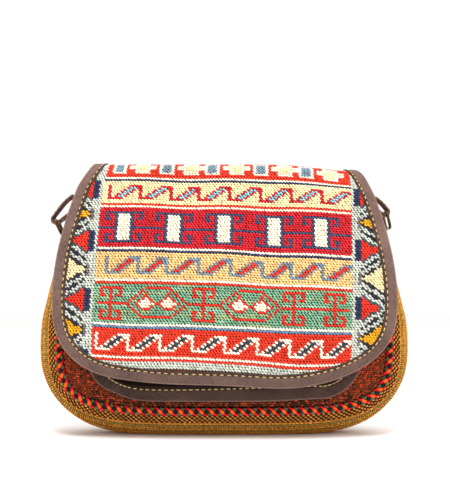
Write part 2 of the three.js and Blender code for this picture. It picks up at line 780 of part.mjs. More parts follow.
// A four-sided wire ring that leans where its tab's fold holds it
function ringGeometry(tab) {
  const halfWidth = TAB_WIDTH / 2 + RING_CLEARANCE + RING_WIRE_RADIUS + RING_SIDE_PLAY;
  const route = [];
  const corners = [[1, 0], [1, 1], [-1, 1], [-1, 0]];
  corners.forEach(([side, far], index) => {
    const y = side * (halfWidth - RING_CORNER);
    const z = far ? RING_DROP - RING_CORNER : RING_CORNER;
    for (let i = 0; i <= RING_CORNER_STEPS; i += 1) {
      const angle = (index - 1 + i / RING_CORNER_STEPS) * Math.PI / 2;
      route.push(new THREE.Vector3(0, y + RING_CORNER * Math.cos(angle), -z - RING_CORNER * Math.sin(angle)));
    }
  });
  const geometry = roundSweep(route, RING_WIRE_RADIUS, RING_SIDES, new THREE.Vector3(1, 0, 0), true);
  const lean = faceLean(tab) + THREE.MathUtils.degToRad(tab.lean);
  geometry.rotateY(-tab.side * lean);
  const fold = foldCentre(tab);
  return geometry.translate(tab.side * fold.x, fold.y, fold.z);
}

// Materials

function finish(color, roughness, metalness) {
  return new THREE.MeshStandardMaterial({ color, roughness, metalness });
}

const CANVAS = finish(0x74605a, 0.9, 0);
const SOUMAK = finish(0xc2332c, 0.95, 0);
const RUST_WOOL = finish(0x7b3a1c, 0.95, 0);
const AMBER_RIB = finish(0xc9852e, 0.95, 0);
const BRAID = finish(0xb3261d, 0.9, 0);
const LINING = finish(0x4a3430, 0.9, 0);
const ANTIQUE_BRASS = finish(0x8a7444, 0.4, 0.9);

function piece(name, geometry, material) {
  const mesh = new THREE.Mesh(geometry, material);
  mesh.name = name;
  return mesh;
}

const bag = new THREE.Group();
bag.add(piece('front_panel', panel(onFront, 0, EDGE_ALLOWANCE), RUST_WOOL));
bag.add(piece('back_panel', panel(onBack, 1, 0), RUST_WOOL));
bag.add(piece('gusset', gusset(), AMBER_RIB));
bag.add(piece('front_piping', piping(0), BRAID));
bag.add(piece('rear_piping', piping(1), BRAID));
bag.add(piece('mouth_binding', mouthBinding(), CANVAS));
bag.add(piece('flap_cloth', flapCloth(), SOUMAK));
bag.add(piece('flap_lining', flapLining(), LINING));
bag.add(piece('flap_binding', flapBinding(), CANVAS));
bag.add(piece('pocket_panel', pocketPanel(), LINING));
bag.add(piece('pocket_binding', pocketBinding(), CANVAS));
bag.add(onSnap(piece('snap_socket', snapSocket(), ANTIQUE_BRASS), POCKET_FACE + SEWN_GAP));
const studHeight = POCKET_FACE + SEWN_GAP + SNAP_SOCKET + SEWN_GAP;
bag.add(onSnap(piece('snap_stud', snapStud(), ANTIQUE_BRASS), studHeight));
for (const tab of TABS) {
  bag.add(piece(`${tab.name}_tab`, tabGeometry(tab), CANVAS));
  bag.add(piece(`${tab.name}_ring`, ringGeometry(tab), ANTIQUE_BRASS));
}

// Stand the bag on the ground with the origin under the middle of its box
const box = new THREE.Box3().setFromObject(bag, true);
const centre = box.getCenter(new THREE.Vector3());
bag.position.set(-centre.x, -centre.y, -box.min.z);

export default bag;
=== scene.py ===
# Looks of a small flap-over shoulder bag: a soumak flap bound in canvas over a wool body.
# Sizes are millimetres in the sewn part's own frame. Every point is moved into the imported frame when
# its mesh is made.

import math

import bpy
import numpy as np
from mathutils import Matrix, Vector


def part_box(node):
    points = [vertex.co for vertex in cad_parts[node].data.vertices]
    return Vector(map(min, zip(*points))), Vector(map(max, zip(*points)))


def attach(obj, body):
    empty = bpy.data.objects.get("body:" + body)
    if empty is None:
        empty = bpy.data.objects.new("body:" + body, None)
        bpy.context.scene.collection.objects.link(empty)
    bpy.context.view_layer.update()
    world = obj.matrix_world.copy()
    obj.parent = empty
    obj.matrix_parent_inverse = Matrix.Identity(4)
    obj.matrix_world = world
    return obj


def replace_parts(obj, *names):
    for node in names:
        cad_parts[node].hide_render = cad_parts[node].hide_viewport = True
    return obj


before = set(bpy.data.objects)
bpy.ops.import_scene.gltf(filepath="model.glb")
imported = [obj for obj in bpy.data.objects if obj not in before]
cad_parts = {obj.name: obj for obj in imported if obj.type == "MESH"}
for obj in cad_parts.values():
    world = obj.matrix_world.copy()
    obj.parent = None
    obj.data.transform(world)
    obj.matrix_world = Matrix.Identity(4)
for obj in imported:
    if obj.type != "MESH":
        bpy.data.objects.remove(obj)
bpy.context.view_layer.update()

MM = 0.001
BODY = "bag"
RANDOM = np.random.default_rng(11)

# Seam outline and depth of the body
SEAM_HALF_WIDTH = 109
SEAM_FOOT = 17.5
SEAM_WIDEST = 77
SEAM_CORNER_POWER = 4.8
SIDE_TAPER_POWER = 1.15
MOUTH_HALF_WIDTH = 94
FRONT_MOUTH = 166
BACK_MOUTH = 158
FRONT_REACH = 36
BACK_REACH = 35.7
BELLY_HEIGHT = 45
FRONT_LEAN = 36
LEAN_HEIGHT = 115
FRONT_BOW = 10

# Cloth, tape and sewing
WALL = 2.2
TAPE = 1.1
SEWN_GAP = 0.35
PIPING_RADIUS = 2.65
SEAM_ALLOWANCE = PIPING_RADIUS + SEWN_GAP
EDGE_ALLOWANCE = TAPE + SEWN_GAP

# Gusset
GUSSET_BULGE_FOOT = 19.5
GUSSET_BULGE_MOUTH = 10.6
GUSSET_CORNER_DRAW = 3.4
GUSSET_ROUNDNESS = 0.75
GUSSET_RIB = 0.6

# Patch pocket
POCKET_HALF_WIDTH = 89
POCKET_FOOT = 24.7
POCKET_TOP = 112
POCKET_CORNER = 28
POCKET_CLOTH = 1.6
POCKET_STITCH = 7.6
POCKET_BACK = SEWN_GAP + TAPE + SEWN_GAP
POCKET_FACE = POCKET_BACK + POCKET_CLOTH

# Flap
SNAP_ROOM = 5.6
FLAP_HALF_WIDTH = 113
FLAP_FOOT = 34
FLAP_CORNER_LENGTH = 60
FLAP_CORNER_POWER = 3.1
FLAP_TAPER_LENGTH = 157
FLAP_REAR_INSET = 6
FLAP_REAR_HALF = MOUTH_HALF_WIDTH - FLAP_REAR_INSET
FLAP_REAR_DROP = 30
FLAP_REAR_CORNER = 18
FLAP_CLOTH = 2
FLAP_LINING = 0.8
FLAP_TAPE_WIDTH = 9
FLAP_LAYERS = FLAP_LINING + SEWN_GAP + FLAP_CLOTH
FLAP_STANDOFF = POCKET_FACE + SNAP_ROOM + FLAP_LAYERS
FLAP_REAR_FACE = BACK_REACH + SEWN_GAP + EDGE_ALLOWANCE + FLAP_LAYERS

# Strap tabs and rings
TAB_CLOTH = 1.6
TAB_WIDTH = 12
TAB_LOWER_SEAT = 0.75
TAB_BOW_POWER = 0.7
RING_WIRE_RADIUS = 1.3
WIRE_FACE = 1.05
RING_CLEARANCE = 0.3
RING_DROP = 11.6
RING_CORNER = 3
RING_SIDE_PLAY = 1
TABS = {
    "left": dict(side=-1, fold_drop=19.4, reach=9.3, lower_drop=15, lean=-39.6, top_drop=2.6, bow=1.3),
    "right": dict(side=1, fold_drop=13.8, reach=6.2, lower_drop=11.5, lean=-1.7, top_drop=3.6, bow=0.8),
}

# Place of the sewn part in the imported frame
BACK_LOW, BACK_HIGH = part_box("back_panel")
SHIFT = np.array([(BACK_LOW.x + BACK_HIGH.x) / 2, BACK_HIGH.y - BACK_REACH * MM, 0.0])


# Small mathematics

RIPPLE_COUNT = 7
RIPPLE_SPREAD = (0.6, 1.6)
SAME_POINT = 1e-9
EVEN_STEP = 0.5
FINE_STEP = 0.4
OUTLINE_SAMPLES = 4000
MIRROR = np.array([-1, 1])


def lerp(start, end, share):
    return start + (end - start) * share


def smooth(value, low, high):
    share = np.clip((value - low) / (high - low), 0, 1)
    return share * share * (3 - 2 * share)


def hump(value, centre, width):
    return np.exp(-(((value - centre) / width) ** 2))


def unit(vectors):
    return vectors / np.linalg.norm(vectors, axis=-1, keepdims=True)


def metres(width, length):
    return float(width) * MM, float(length) * MM


def circle(angle):
    return np.stack([np.cos(angle), np.sin(angle)], axis=1)


def turns(count):
    """Angles of equal steps all the way round."""
    return np.arange(count) * 2 * np.pi / count


def spaced(length, pitch):
    """Middles of the equal parts of a length, each about a pitch long."""
    count = int(length / pitch)
    return (np.arange(count) + 0.5) * length / count


def counted(rows, columns):
    """Row and column of every place in a grid."""
    return np.indices((rows, columns)).reshape(2, -1)


def strays(spread, like):
    return RANDOM.normal(0, spread, like.shape)


def rounded_corner(power, steps):
    """Shares across and down of an outline's corner, from the middle of its foot to its side."""
    angle = np.linspace(0, np.pi / 2, steps)
    return np.sin(angle) ** (2 / power), np.abs(np.cos(angle)) ** (2 / power)


def point_array(x, y, z):
    return np.stack(np.broadcast_arrays(x, y, z), axis=-1).astype(float)


def lengths_along(points):
    """Length of a line up to each of its points."""
    steps = np.linalg.norm(np.diff(points, axis=0), axis=1)
    return np.concatenate([[0], np.cumsum(steps)])


def follow(points, lengths, along):
    """Points at some lengths along a line, as one array for each coordinate."""
    return [np.interp(along, lengths, column) for column in points.T]


def ripples(first, second, wavelength, seed):
    """Gentle uneven folds over a surface, about -1 to 1."""
    draw = np.random.default_rng(seed)
    total = 0
    for _ in range(RIPPLE_COUNT):
        angle = draw.uniform(0, 2 * np.pi)
        pitch = 2 * np.pi / (wavelength * draw.uniform(*RIPPLE_SPREAD))
        phase = draw.uniform(0, 2 * np.pi)
        total = total + np.sin(pitch * (first * np.cos(angle) + second * np.sin(angle)) + phase)
    return total / math.sqrt(RIPPLE_COUNT)


class Path:
    """A flat line that is followed by its own length."""

    def __init__(self, points):
        points = np.asarray(points, float)
        apart = np.linalg.norm(np.diff(points, axis=0), axis=1) > SAME_POINT
        self.points = points[np.concatenate([[True], apart])]
        self.lengths = lengths_along(self.points)
        self.length = self.lengths[-1]
        self.tangents = unit(np.gradient(self.points, self.lengths, axis=0))

    def point(self, along):
        return follow(self.points, self.lengths, along)

    def tangent(self, along):
        first, second = follow(self.tangents, self.lengths, along)
        size = np.hypot(first, second)
        return first / size, second / size

    def inward(self, along, distance):
        """A point at a distance on the left of the line."""
        first, second = self.point(along)
        run, climb = self.tangent(along)
        return first - climb * distance, second + run * distance


def even_path(points, step=EVEN_STEP):
    """The same line with its points evenly spaced."""
    rough = Path(points)
    along = np.linspace(0, rough.length, int(rough.length / step) + 1)
    return Path(np.stack(rough.point(along), axis=1))


def inset_widths(path, inset):
    """Lowest and highest place inside a closed outline after an inset, and its half-width between them."""
    x, height = path.inward(np.linspace(0, path.length, OUTLINE_SAMPLES), inset)
    right = x >= 0
    order = np.argsort(height[right], kind="stable")
    heights = height[right][order]
    widths = x[right][order]
    return heights[0], heights[-1], lambda value: np.interp(value, heights, widths)


# Body surfaces

SEAM_STEPS = 900
SEAM_EASE = 31
SHARE_PROBE = 0.01
HALVINGS = 24


def front_slope(z):
    return 2 * FRONT_LEAN * (z - BELLY_HEIGHT) / LEAN_HEIGHT**2


def front_depth(x, z):
    lean = FRONT_LEAN * ((z - BELLY_HEIGHT) / LEAN_HEIGHT) ** 2
    return -FRONT_REACH + lean + FRONT_BOW * (x / SEAM_HALF_WIDTH) ** 2


def on_front(x, z, height):
    slope = front_slope(z)
    steep = np.hypot(1, slope)
    return point_array(x, front_depth(x, z) - height / steep, z + height * slope / steep)


def on_back(x, z, height):
    """The back panel, with x counted as it is seen from behind."""
    return point_array(-x, BACK_REACH + height, z)


def seam_path():
    """The front seam from one end of the mouth to the other, with its turns eased."""
    across, down = rounded_corner(SEAM_CORNER_POWER, SEAM_STEPS)
    base_x = SEAM_HALF_WIDTH * across
    base_z = SEAM_WIDEST - (SEAM_WIDEST - SEAM_FOOT) * down
    rise = np.linspace(0, 1, SEAM_STEPS)[1:]
    side_x = SEAM_HALF_WIDTH - (SEAM_HALF_WIDTH - MOUTH_HALF_WIDTH) * rise**SIDE_TAPER_POWER
    side_z = lerp(SEAM_WIDEST, FRONT_MOUTH, rise)
    half = np.stack([np.concatenate([base_x, side_x]), np.concatenate([base_z, side_z])], axis=1)
    path = even_path(np.concatenate([half[:0:-1] * MIRROR, half]))
    ends = (SEAM_EASE // 2, SEAM_EASE // 2)
    padded = np.pad(path.tangents, (ends, (0, 0)), mode="edge")
    kernel = np.full(SEAM_EASE, 1 / SEAM_EASE)
    path.tangents = np.stack([np.convolve(column, kernel, mode="valid") for column in padded.T], axis=1)
    return path


SEAM = seam_path()


def mouth_drop(z, depth_share):
    mouth = lerp(FRONT_MOUTH, BACK_MOUTH, depth_share)
    dropped = SEAM_WIDEST + (z - SEAM_WIDEST) * (mouth - SEAM_WIDEST) / (FRONT_MOUTH - SEAM_WIDEST)
    return np.where(z <= SEAM_WIDEST, z, dropped)


def gusset_swell(along, share):
    _, z = SEAM.point(along)
    across, up = SEAM.tangent(along)
    rise = np.clip((z - SEAM_FOOT) / (FRONT_MOUTH - SEAM_FOOT), 0, 1)
    bulge = lerp(GUSSET_BULGE_FOOT, GUSSET_BULGE_MOUTH, rise)
    bulge = bulge - GUSSET_CORNER_DRAW * 2 * np.abs(across * up)
    return bulge * np.sin(np.pi * np.clip(share, 0, 1)) ** GUSSET_ROUNDNESS


def gusset_depth(along):
    front = front_depth(*SEAM.point(along))
    return front, BACK_REACH - front


def on_gusset(share, along, height):
    """The gusset at a share of the bag's depth and a length along the seam."""
    x, z = SEAM.point(along)
    across, up = SEAM.tangent(along)
    front, depth = gusset_depth(along)
    climb = gusset_swell(along, share + SHARE_PROBE) - gusset_swell(along, share - SHARE_PROBE)
    rise = climb / (2 * SHARE_PROBE * depth)
    steep = np.hypot(1, rise)
    out = gusset_swell(along, share) + height / steep
    y = front + depth * share - height * rise / steep
    ground = np.maximum(-np.asarray(height, float), 0)
    return point_array(x + up * out, y, np.maximum(mouth_drop(z, share) - across * out, ground))


def gusset_edge(along):
    """Share of the depth at which the gusset meets the piping."""
    _, depth = gusset_depth(along)
    low = np.zeros_like(along)
    high = np.full_like(along, 0.5)
    for _ in range(HALVINGS):
        middle = (low + high) / 2
        inside = np.hypot(middle * depth, gusset_swell(along, middle)) < SEAM_ALLOWANCE
        low = np.where(inside, middle, low)
        high = np.where(inside, high, middle)
    return high


# Flap surface: it follows the front at a distance, folds over the top and lies on the back

PROFILE_SPARE = 20
PROFILE_STEPS = 300
FOLD_START = on_front(0, FRONT_MOUTH, FLAP_STANDOFF)
FOLD_SLOPE = front_slope(FRONT_MOUTH)
FOLD_NORMAL = np.array([-1, FOLD_SLOPE]) / math.hypot(1, FOLD_SLOPE)
FOLD_RADIUS = (FLAP_REAR_FACE - FOLD_START[1]) / (1 - FOLD_NORMAL[0])
FOLD_CENTRE = FOLD_START[1:] - FOLD_RADIUS * FOLD_NORMAL
FOLD_ANGLE = math.atan2(FOLD_NORMAL[1], FOLD_NORMAL[0])


def flap_profile():
    heights = np.linspace(FLAP_FOOT - PROFILE_SPARE, FRONT_MOUTH, PROFILE_STEPS)
    front = on_front(np.zeros(PROFILE_STEPS), heights, FLAP_STANDOFF)[:, 1:]
    fold = FOLD_CENTRE + FOLD_RADIUS * circle(np.linspace(FOLD_ANGLE, 0, PROFILE_STEPS)[1:])
    drop = np.linspace(0, FLAP_REAR_DROP + PROFILE_SPARE, PROFILE_STEPS)[1:]
    rear = np.stack([np.full_like(drop, FLAP_REAR_FACE), FOLD_CENTRE[1] - drop], axis=1)
    return Path(np.concatenate([front, fold, rear]))


PROFILE = flap_profile()
FLAP_START = np.interp(
    on_front(0, FLAP_FOOT, FLAP_STANDOFF)[2],
    PROFILE.points[:PROFILE_STEPS, 1],
    PROFILE.lengths[:PROFILE_STEPS],
)
FLAP_LENGTH = PROFILE.length - PROFILE_SPARE - FLAP_START
FOLD_TO = FLAP_LENGTH - FLAP_REAR_DROP
FOLD_FROM = FOLD_TO - FOLD_RADIUS * FOLD_ANGLE

# How the soft flap has settled: its right shoulder is slumped, and its lower edge isn't quite level.
# Each move has an amount and runs in between two places. The dip has a place and a width.
SHOULDER_SLUMP = 4.2
SLUMP_ACROSS = (32, 92)
SLUMP_UP = (158, 184)
EDGE_LIFT = 2.5
LEFT_DROP = 0.75
LEFT_DROP_ACROSS = (50, 95)
EDGE_DIP = 3.2
DIP_PLACE = (46, 34)
EDGE_UP = (34, 75)
LEFT_CORNER_DRAW = 2.0
RIGHT_CORNER_DRAW = 2.6
CORNER_ACROSS = (70, 112)
CORNER_UP = (40, 95)
LEFT_TOP_DRAW = 3.0
TOP_ACROSS = (60, 92)
TOP_UP = (165, 182)


def settle(points):
    x, y, z = np.moveaxis(points, -1, 0)
    slump = SHOULDER_SLUMP * smooth(x, *SLUMP_ACROSS) * smooth(z, *SLUMP_UP)
    lift = EDGE_LIFT * (1 - LEFT_DROP * smooth(-x, *LEFT_DROP_ACROSS)) - EDGE_DIP * hump(x, *DIP_PLACE)
    edge = lift * (1 - smooth(z, *EDGE_UP))
    draw = np.where(x < 0, LEFT_CORNER_DRAW, -RIGHT_CORNER_DRAW)
    corner = draw * smooth(np.abs(x), *CORNER_ACROSS) * (1 - smooth(z, *CORNER_UP))
    top = LEFT_TOP_DRAW * smooth(-x, *TOP_ACROSS) * smooth(z, *TOP_UP)
    return point_array(x + corner + top, y, z - slump + edge)


def on_flap(x, along, height):
    y, z = PROFILE.point(along + FLAP_START)
    run, climb = PROFILE.tangent(along + FLAP_START)
    bow_share = 1 - smooth(along, FOLD_FROM / 2, FOLD_TO)
    bow = FRONT_BOW * bow_share * (x / SEAM_HALF_WIDTH) ** 2
    return settle(point_array(x, y - climb * height + bow, z + run * height))


SIDE_STEPS = 400
REAR_STEPS = 60
QUARTER_STEPS = 40


def flap_outline():
    across, down = rounded_corner(FLAP_CORNER_POWER, SIDE_STEPS)
    corner_x = FLAP_HALF_WIDTH * across
    corner_along = FLAP_CORNER_LENGTH * (1 - down)
    side_end = FLAP_LENGTH - FLAP_REAR_CORNER
    side_along = np.linspace(FLAP_CORNER_LENGTH, side_end, SIDE_STEPS)[1:]
    share = np.clip((side_along - FLAP_CORNER_LENGTH) / FLAP_TAPER_LENGTH, 0, 1)
    side_x = lerp(FLAP_REAR_HALF, FLAP_HALF_WIDTH, (1 + np.cos(np.pi * share)) / 2)
    turn = np.linspace(0, np.pi / 2, REAR_STEPS)[1:]
    turn_x = side_x[-1] - FLAP_REAR_CORNER * (1 - np.cos(turn))
    turn_along = side_end + FLAP_REAR_CORNER * np.sin(turn)
    rear_x = np.linspace(turn_x[-1], 0, REAR_STEPS)[1:]
    x = np.concatenate([corner_x, side_x, turn_x, rear_x])
    along = np.concatenate([corner_along, side_along, turn_along, np.full_like(rear_x, FLAP_LENGTH)])
    half = np.stack([x, along], axis=1)
    return even_path(np.concatenate([half, half[::-1] * MIRROR]))


def pocket_outline():
    side = POCKET_HALF_WIDTH - POCKET_CORNER
    low = POCKET_FOOT + POCKET_CORNER
    high = POCKET_TOP - POCKET_CORNER
    points = [np.array([[0, POCKET_FOOT]])]
    for quarter, centre in enumerate(((side, low), (side, high), (-side, high), (-side, low))):
        start = (quarter - 1) * np.pi / 2
        points.append(centre + POCKET_CORNER * circle(start + np.linspace(0, np.pi / 2, QUARTER_STEPS)))
    return even_path(np.concatenate([*points, points[0]]))


FLAP_OUTLINE = flap_outline()
POCKET_OUTLINE = pocket_outline()

# How the pocket's lower edge has crept up, most at its left corner, and how its tape spreads on the right:
# the amount, the place and the width of each
LEFT_CREEP = (3.2, -72, 13)
RIGHT_CREEP = (1.4, 62, 22)
TAPE_SPREAD = (1.5, 36, 42)


def on_pocket(x, z, height):
    moves = (LEFT_CREEP, RIGHT_CREEP, TAPE_SPREAD)
    left, right, spread = (rise * hump(x, *place) for rise, *place in moves)
    low = 1 - smooth(z, POCKET_FOOT, POCKET_FOOT + POCKET_CORNER)
    tape = smooth(z, POCKET_FOOT, POCKET_FOOT + POCKET_STITCH)
    return on_front(x, z + (left + right) * low + spread * tape, height)


# Meshes

BEAD_SIDES = 5
BEAD_SHOULDER = 0.52
BAR_SHOULDER = 0.86
BEAD_RING_SIZE = 0.94
BEAD_END_DIP = -0.5
PROBE = 0.05


def add_object(name, data):
    made = bpy.data.objects.new(name, data)
    bpy.context.scene.collection.objects.link(made)
    return made


def make_piece(name, points, faces, materials, slot, body=BODY, face_slots=None, **attributes):
    mesh = bpy.data.meshes.new(name)
    placed = np.asarray(points).reshape(-1, 3) * MM + SHIFT
    mesh.from_pydata(placed.tolist(), [], faces.tolist() if isinstance(faces, np.ndarray) else faces)
    for material in materials:
        mesh.materials.append(material)
    if face_slots is not None:
        mesh.polygons.foreach_set("material_index", np.asarray(face_slots, dtype=np.int32))
    for key, values in attributes.items():
        layer = mesh.attributes.new(key, "FLOAT", "POINT")
        layer.data.foreach_set("value", np.asarray(values, dtype=np.float32).ravel())
    mesh.shade_smooth()
    mesh.update()
    piece = add_object(name, mesh)
    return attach(piece, body)


def grid_faces(rows, columns, loop_rows=False, loop_columns=False, start=0):
    first = np.arange(rows if loop_rows else rows - 1)[:, None]
    second = np.arange(columns if loop_columns else columns - 1)[None, :]
    next_first = (first + 1) % rows
    next_second = (second + 1) % columns
    corners = [
        first * columns + second,
        first * columns + next_second,
        next_first * columns + next_second,
        next_first * columns + second,
    ]
    return start + np.stack(np.broadcast_arrays(*corners), axis=-1).reshape(-1, 4)


def closed_sheet(face, back, loop=False):
    """Points and faces of a thick sheet from its face and its back, each a grid of points."""
    rows, columns = face.shape[:2]
    count = rows * columns
    faces = [grid_faces(rows, columns, loop), grid_faces(rows, columns, loop, start=count)[:, ::-1]]
    index = np.arange(count).reshape(rows, columns)
    rims = [index[:, 0][::-1], index[:, -1]]
    if not loop:
        rims += [index[0, :], index[-1, :][::-1]]
    for rim in rims:
        ahead = np.roll(rim, -1) if loop else rim[1:]
        here = rim if loop else rim[:-1]
        faces.append(np.stack([ahead, here, here + count, ahead + count], axis=1))
    points = np.concatenate([face.reshape(-1, 3), back.reshape(-1, 3)])
    return points, np.concatenate(faces)


def cloth(name, node, material, slot, face, back, flip=False, **soft):
    """A thick cloth between a face and a back, in the place of a node of the part."""
    points, faces = closed_sheet(face, back)
    piece = make_piece(name, points, faces[:, ::-1] if flip else faces, [material], slot)
    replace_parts(piece, node)


def cloth_grid(width_at, along, columns):
    """Places across and along a cloth, in rows that fill its width."""
    x = width_at(along)[:, None] * np.linspace(-1, 1, columns)[None, :]
    return x, np.broadcast_to(along[:, None], x.shape)


def eased_rows(low, high, count, margin):
    """Places from low to high, closer together near both ends."""
    return lerp(low, high, 0.5 - 0.5 * np.cos(np.linspace(margin, np.pi - margin, count)))


def flat_area(width_at, along):
    return float(2 * np.trapz(width_at(along), along) * MM * MM)


def bead_template(shoulder):
    """A bead of unit size: two ends, and a ring of points on each side of its middle."""
    turn = np.pi / 2 + turns(BEAD_SIDES)
    points = [(-1, 0, 0)]
    for place in (-shoulder, shoulder):
        points += [(place, BEAD_RING_SIZE * math.cos(a), BEAD_RING_SIZE * math.sin(a)) for a in turn]
    points.append((1, 0, 0))
    last = len(points) - 1
    faces = []
    for k in range(BEAD_SIDES):
        here = 1 + k
        ahead = 1 + (k + 1) % BEAD_SIDES
        faces.append((0, ahead, here))
        faces.append((here, ahead, ahead + BEAD_SIDES))
        faces.append((here, ahead + BEAD_SIDES, here + BEAD_SIDES))
        faces.append((here + BEAD_SIDES, ahead + BEAD_SIDES, last))
    return np.array(points, float), np.array(faces)


BEAD_POINTS, BEAD_FACES = bead_template(BEAD_SHOULDER)
BAR_POINTS, _ = bead_template(BAR_SHOULDER)


def bead_mesh(centres, along, normal, sizes, shape=BEAD_POINTS, dip=BEAD_END_DIP):
    """Long beads of yarn: their points, faces, and how far each point stands up from its bead's middle."""
    shape = shape.copy()
    shape[[0, -1], 2] = dip
    axes = np.stack([along, np.cross(normal, along), normal], axis=1) * np.asarray(sizes, float)[..., None]
    points = centres[:, None, :] + np.einsum("pk,nkc->npc", shape, axes)
    offsets = np.arange(len(centres))[:, None, None] * len(BEAD_POINTS)
    return points, (BEAD_FACES[None] + offsets).reshape(-1, 3), np.tile(shape[:, 2], len(centres))


def bead_pieces(groups, beads, yarns, slot, **form):
    """Pieces of many beads, each bead in the yarn that its number names."""
    for name, chosen in groups:
        points, faces, lift = bead_mesh(*[values[chosen] for values in beads], **form)
        used, place = np.unique(yarns[chosen], return_inverse=True)
        shade = np.repeat(RANDOM.uniform(-1, 1, len(place)), len(BEAD_POINTS))
        materials = [YARN_MATERIALS[number] for number in used]
        face_slots = np.repeat(place, len(BEAD_FACES))
        make_piece(name, points, faces, materials, slot, face_slots=face_slots, lift=lift, shade=shade)


def dashes(name, *beads):
    """A row of stitches in gold thread."""
    points, faces, _ = bead_mesh(*beads)
    make_piece(name, points, faces, [THREAD], "canvas")


def varied(size, spread, count):
    return np.asarray(size) * (1 + RANDOM.normal(0, spread, (count, 3)))


def slanted(right, up, angle):
    return unit(right * np.cos(angle)[:, None] + up * np.sin(angle)[:, None])


def surface_frame(surface, first, second, height, step=PROBE):
    """Points of a surface with its two directions and its outward normal there."""
    forward = unit(surface(first + step, second, height) - surface(first - step, second, height))
    upward = unit(surface(first, second + PROBE, height) - surface(first, second - PROBE, height))
    return surface(first, second, height), forward, upward, unit(np.cross(forward, upward))


# Materials

MIX_FACTOR, MIX_A, MIX_B, MIX_RESULT = 0, 6, 7, 2
FULL = (0, 1)
MID_NOISE = (0.3, 0.7)
SRGB_TOP = 255
SRGB_KNEE = 0.04045
SRGB_SLOPE = 12.92
SRGB_OFFSET = 0.055
SRGB_POWER = 2.4


def colour(text):
    """A colour written as six hexadecimal digits, in linear light."""
    linear = []
    for share in (value / SRGB_TOP for value in bytes.fromhex(text)):
        curve = ((share + SRGB_OFFSET) / (1 + SRGB_OFFSET)) ** SRGB_POWER
        linear.append(share / SRGB_SLOPE if share <= SRGB_KNEE else curve)
    return (*linear, 1.0)


class Graph:
    """The nodes of a material or a world, by short calls."""

    def __init__(self, owner):
        owner.use_nodes = True
        self.owner = owner
        self.tree = owner.node_tree

    def feed(self, socket, value):
        if isinstance(value, bpy.types.NodeSocket):
            self.tree.links.new(value, socket)
        else:
            socket.default_value = value

    def feed_all(self, node, inputs):
        for key, value in inputs.items():
            self.feed(node.inputs[key.replace("_", " ")], value)

    def node(self, kind, settings=None, **inputs):
        made = self.tree.nodes.new("ShaderNode" + kind)
        for key, value in (settings or {}).items():
            setattr(made, key, value)
        self.feed_all(made, inputs)
        return made

    def attribute(self, name):
        return self.node("Attribute", {"attribute_name": name}).outputs["Fac"]

    def position(self):
        return self.node("TexCoord").outputs["Object"]

    def height(self, direction):
        return self.node("SeparateXYZ", Vector=direction).outputs["Z"]

    def noise(self, scale, detail=3.0, roughness=0.6):
        values = dict(Vector=self.position(), Scale=scale, Detail=detail, Roughness=roughness)
        return self.node("TexNoise", **values).outputs["Fac"]

    def ranged(self, value, source, target=FULL):
        ends = dict(From_Min=source[0], From_Max=source[1], To_Min=target[0], To_Max=target[1])
        return self.node("MapRange", Value=value, **ends).outputs["Result"]

    def math(self, operation, first, second):
        made = self.node("Math", {"operation": operation})
        self.feed(made.inputs[0], first)
        self.feed(made.inputs[1], second)
        return made.outputs["Value"]

    def mix(self, factor, first, second):
        made = self.node("Mix", {"data_type": "RGBA"})
        self.feed(made.inputs[MIX_FACTOR], factor)
        self.feed(made.inputs[MIX_A], first)
        self.feed(made.inputs[MIX_B], second)
        return made.outputs[MIX_RESULT]

    def brightness(self, tint, value):
        return self.node("HueSaturation", Value=value, Color=tint).outputs["Color"]

    def bump(self, height, strength, distance, **normal):
        made = self.node("Bump", Height=height, Strength=strength, Distance=distance, **normal)
        return made.outputs["Normal"]

    def finish(self, shader="Principled BSDF", **inputs):
        self.feed_all(self.tree.nodes[shader], inputs)
        return self.owner


def new_graph(name):
    return Graph(bpy.data.materials.new(name))


# From a stitch's low points to its high ones, the painted shade gives way to its face colour
YARN_SHADE_LIFT = (0.06, 0.68)
FIBRE_LIFT = (-0.2, 0.2)
STITCH_SHADES = (0.8, 1.2)
DYE_SHADES = (0.93, 1.06)


def yarn_material(name, face, deep):
    """Spun wool: its colour sinks to a deep tone of painted shade between the stitches and varies from
    stitch to stitch.
    """
    graph = new_graph(name)
    fibres = graph.noise(scale=2600.0)
    lift = graph.math("ADD", graph.attribute("lift"), graph.ranged(fibres, MID_NOISE, FIBRE_LIFT))
    tint = graph.mix(graph.ranged(lift, YARN_SHADE_LIFT), colour(deep), colour(face))
    shade = graph.ranged(graph.attribute("shade"), (-1, 1), STITCH_SHADES)
    patches = graph.ranged(graph.noise(scale=70.0), MID_NOISE, DYE_SHADES)
    return graph.finish(
        Base_Color=graph.brightness(tint, graph.math("MULTIPLY", shade, patches)),
        Roughness=0.9,
        Specular_IOR_Level=0.15,
        Normal=graph.bump(fibres, strength=0.35, distance=0.0004),
    )


TWILL_PITCH = 1.25
WAVE_NUMBER = 10 * math.sqrt(2)
TWILL_EDGES = (0.2, 0.9)
TWILL_SHARE = (0, 0.4)
PATCH_EDGES = (0.35, 0.68)
SPECK_SHADES = (0.72, 1.26)
# Heights and brightness of the painted shade that darkens a canvas towards the bag's foot
FOOT_SHADE_HEIGHTS = (0.03, 0.18)
FOOT_SHADE_TOP = 1.05


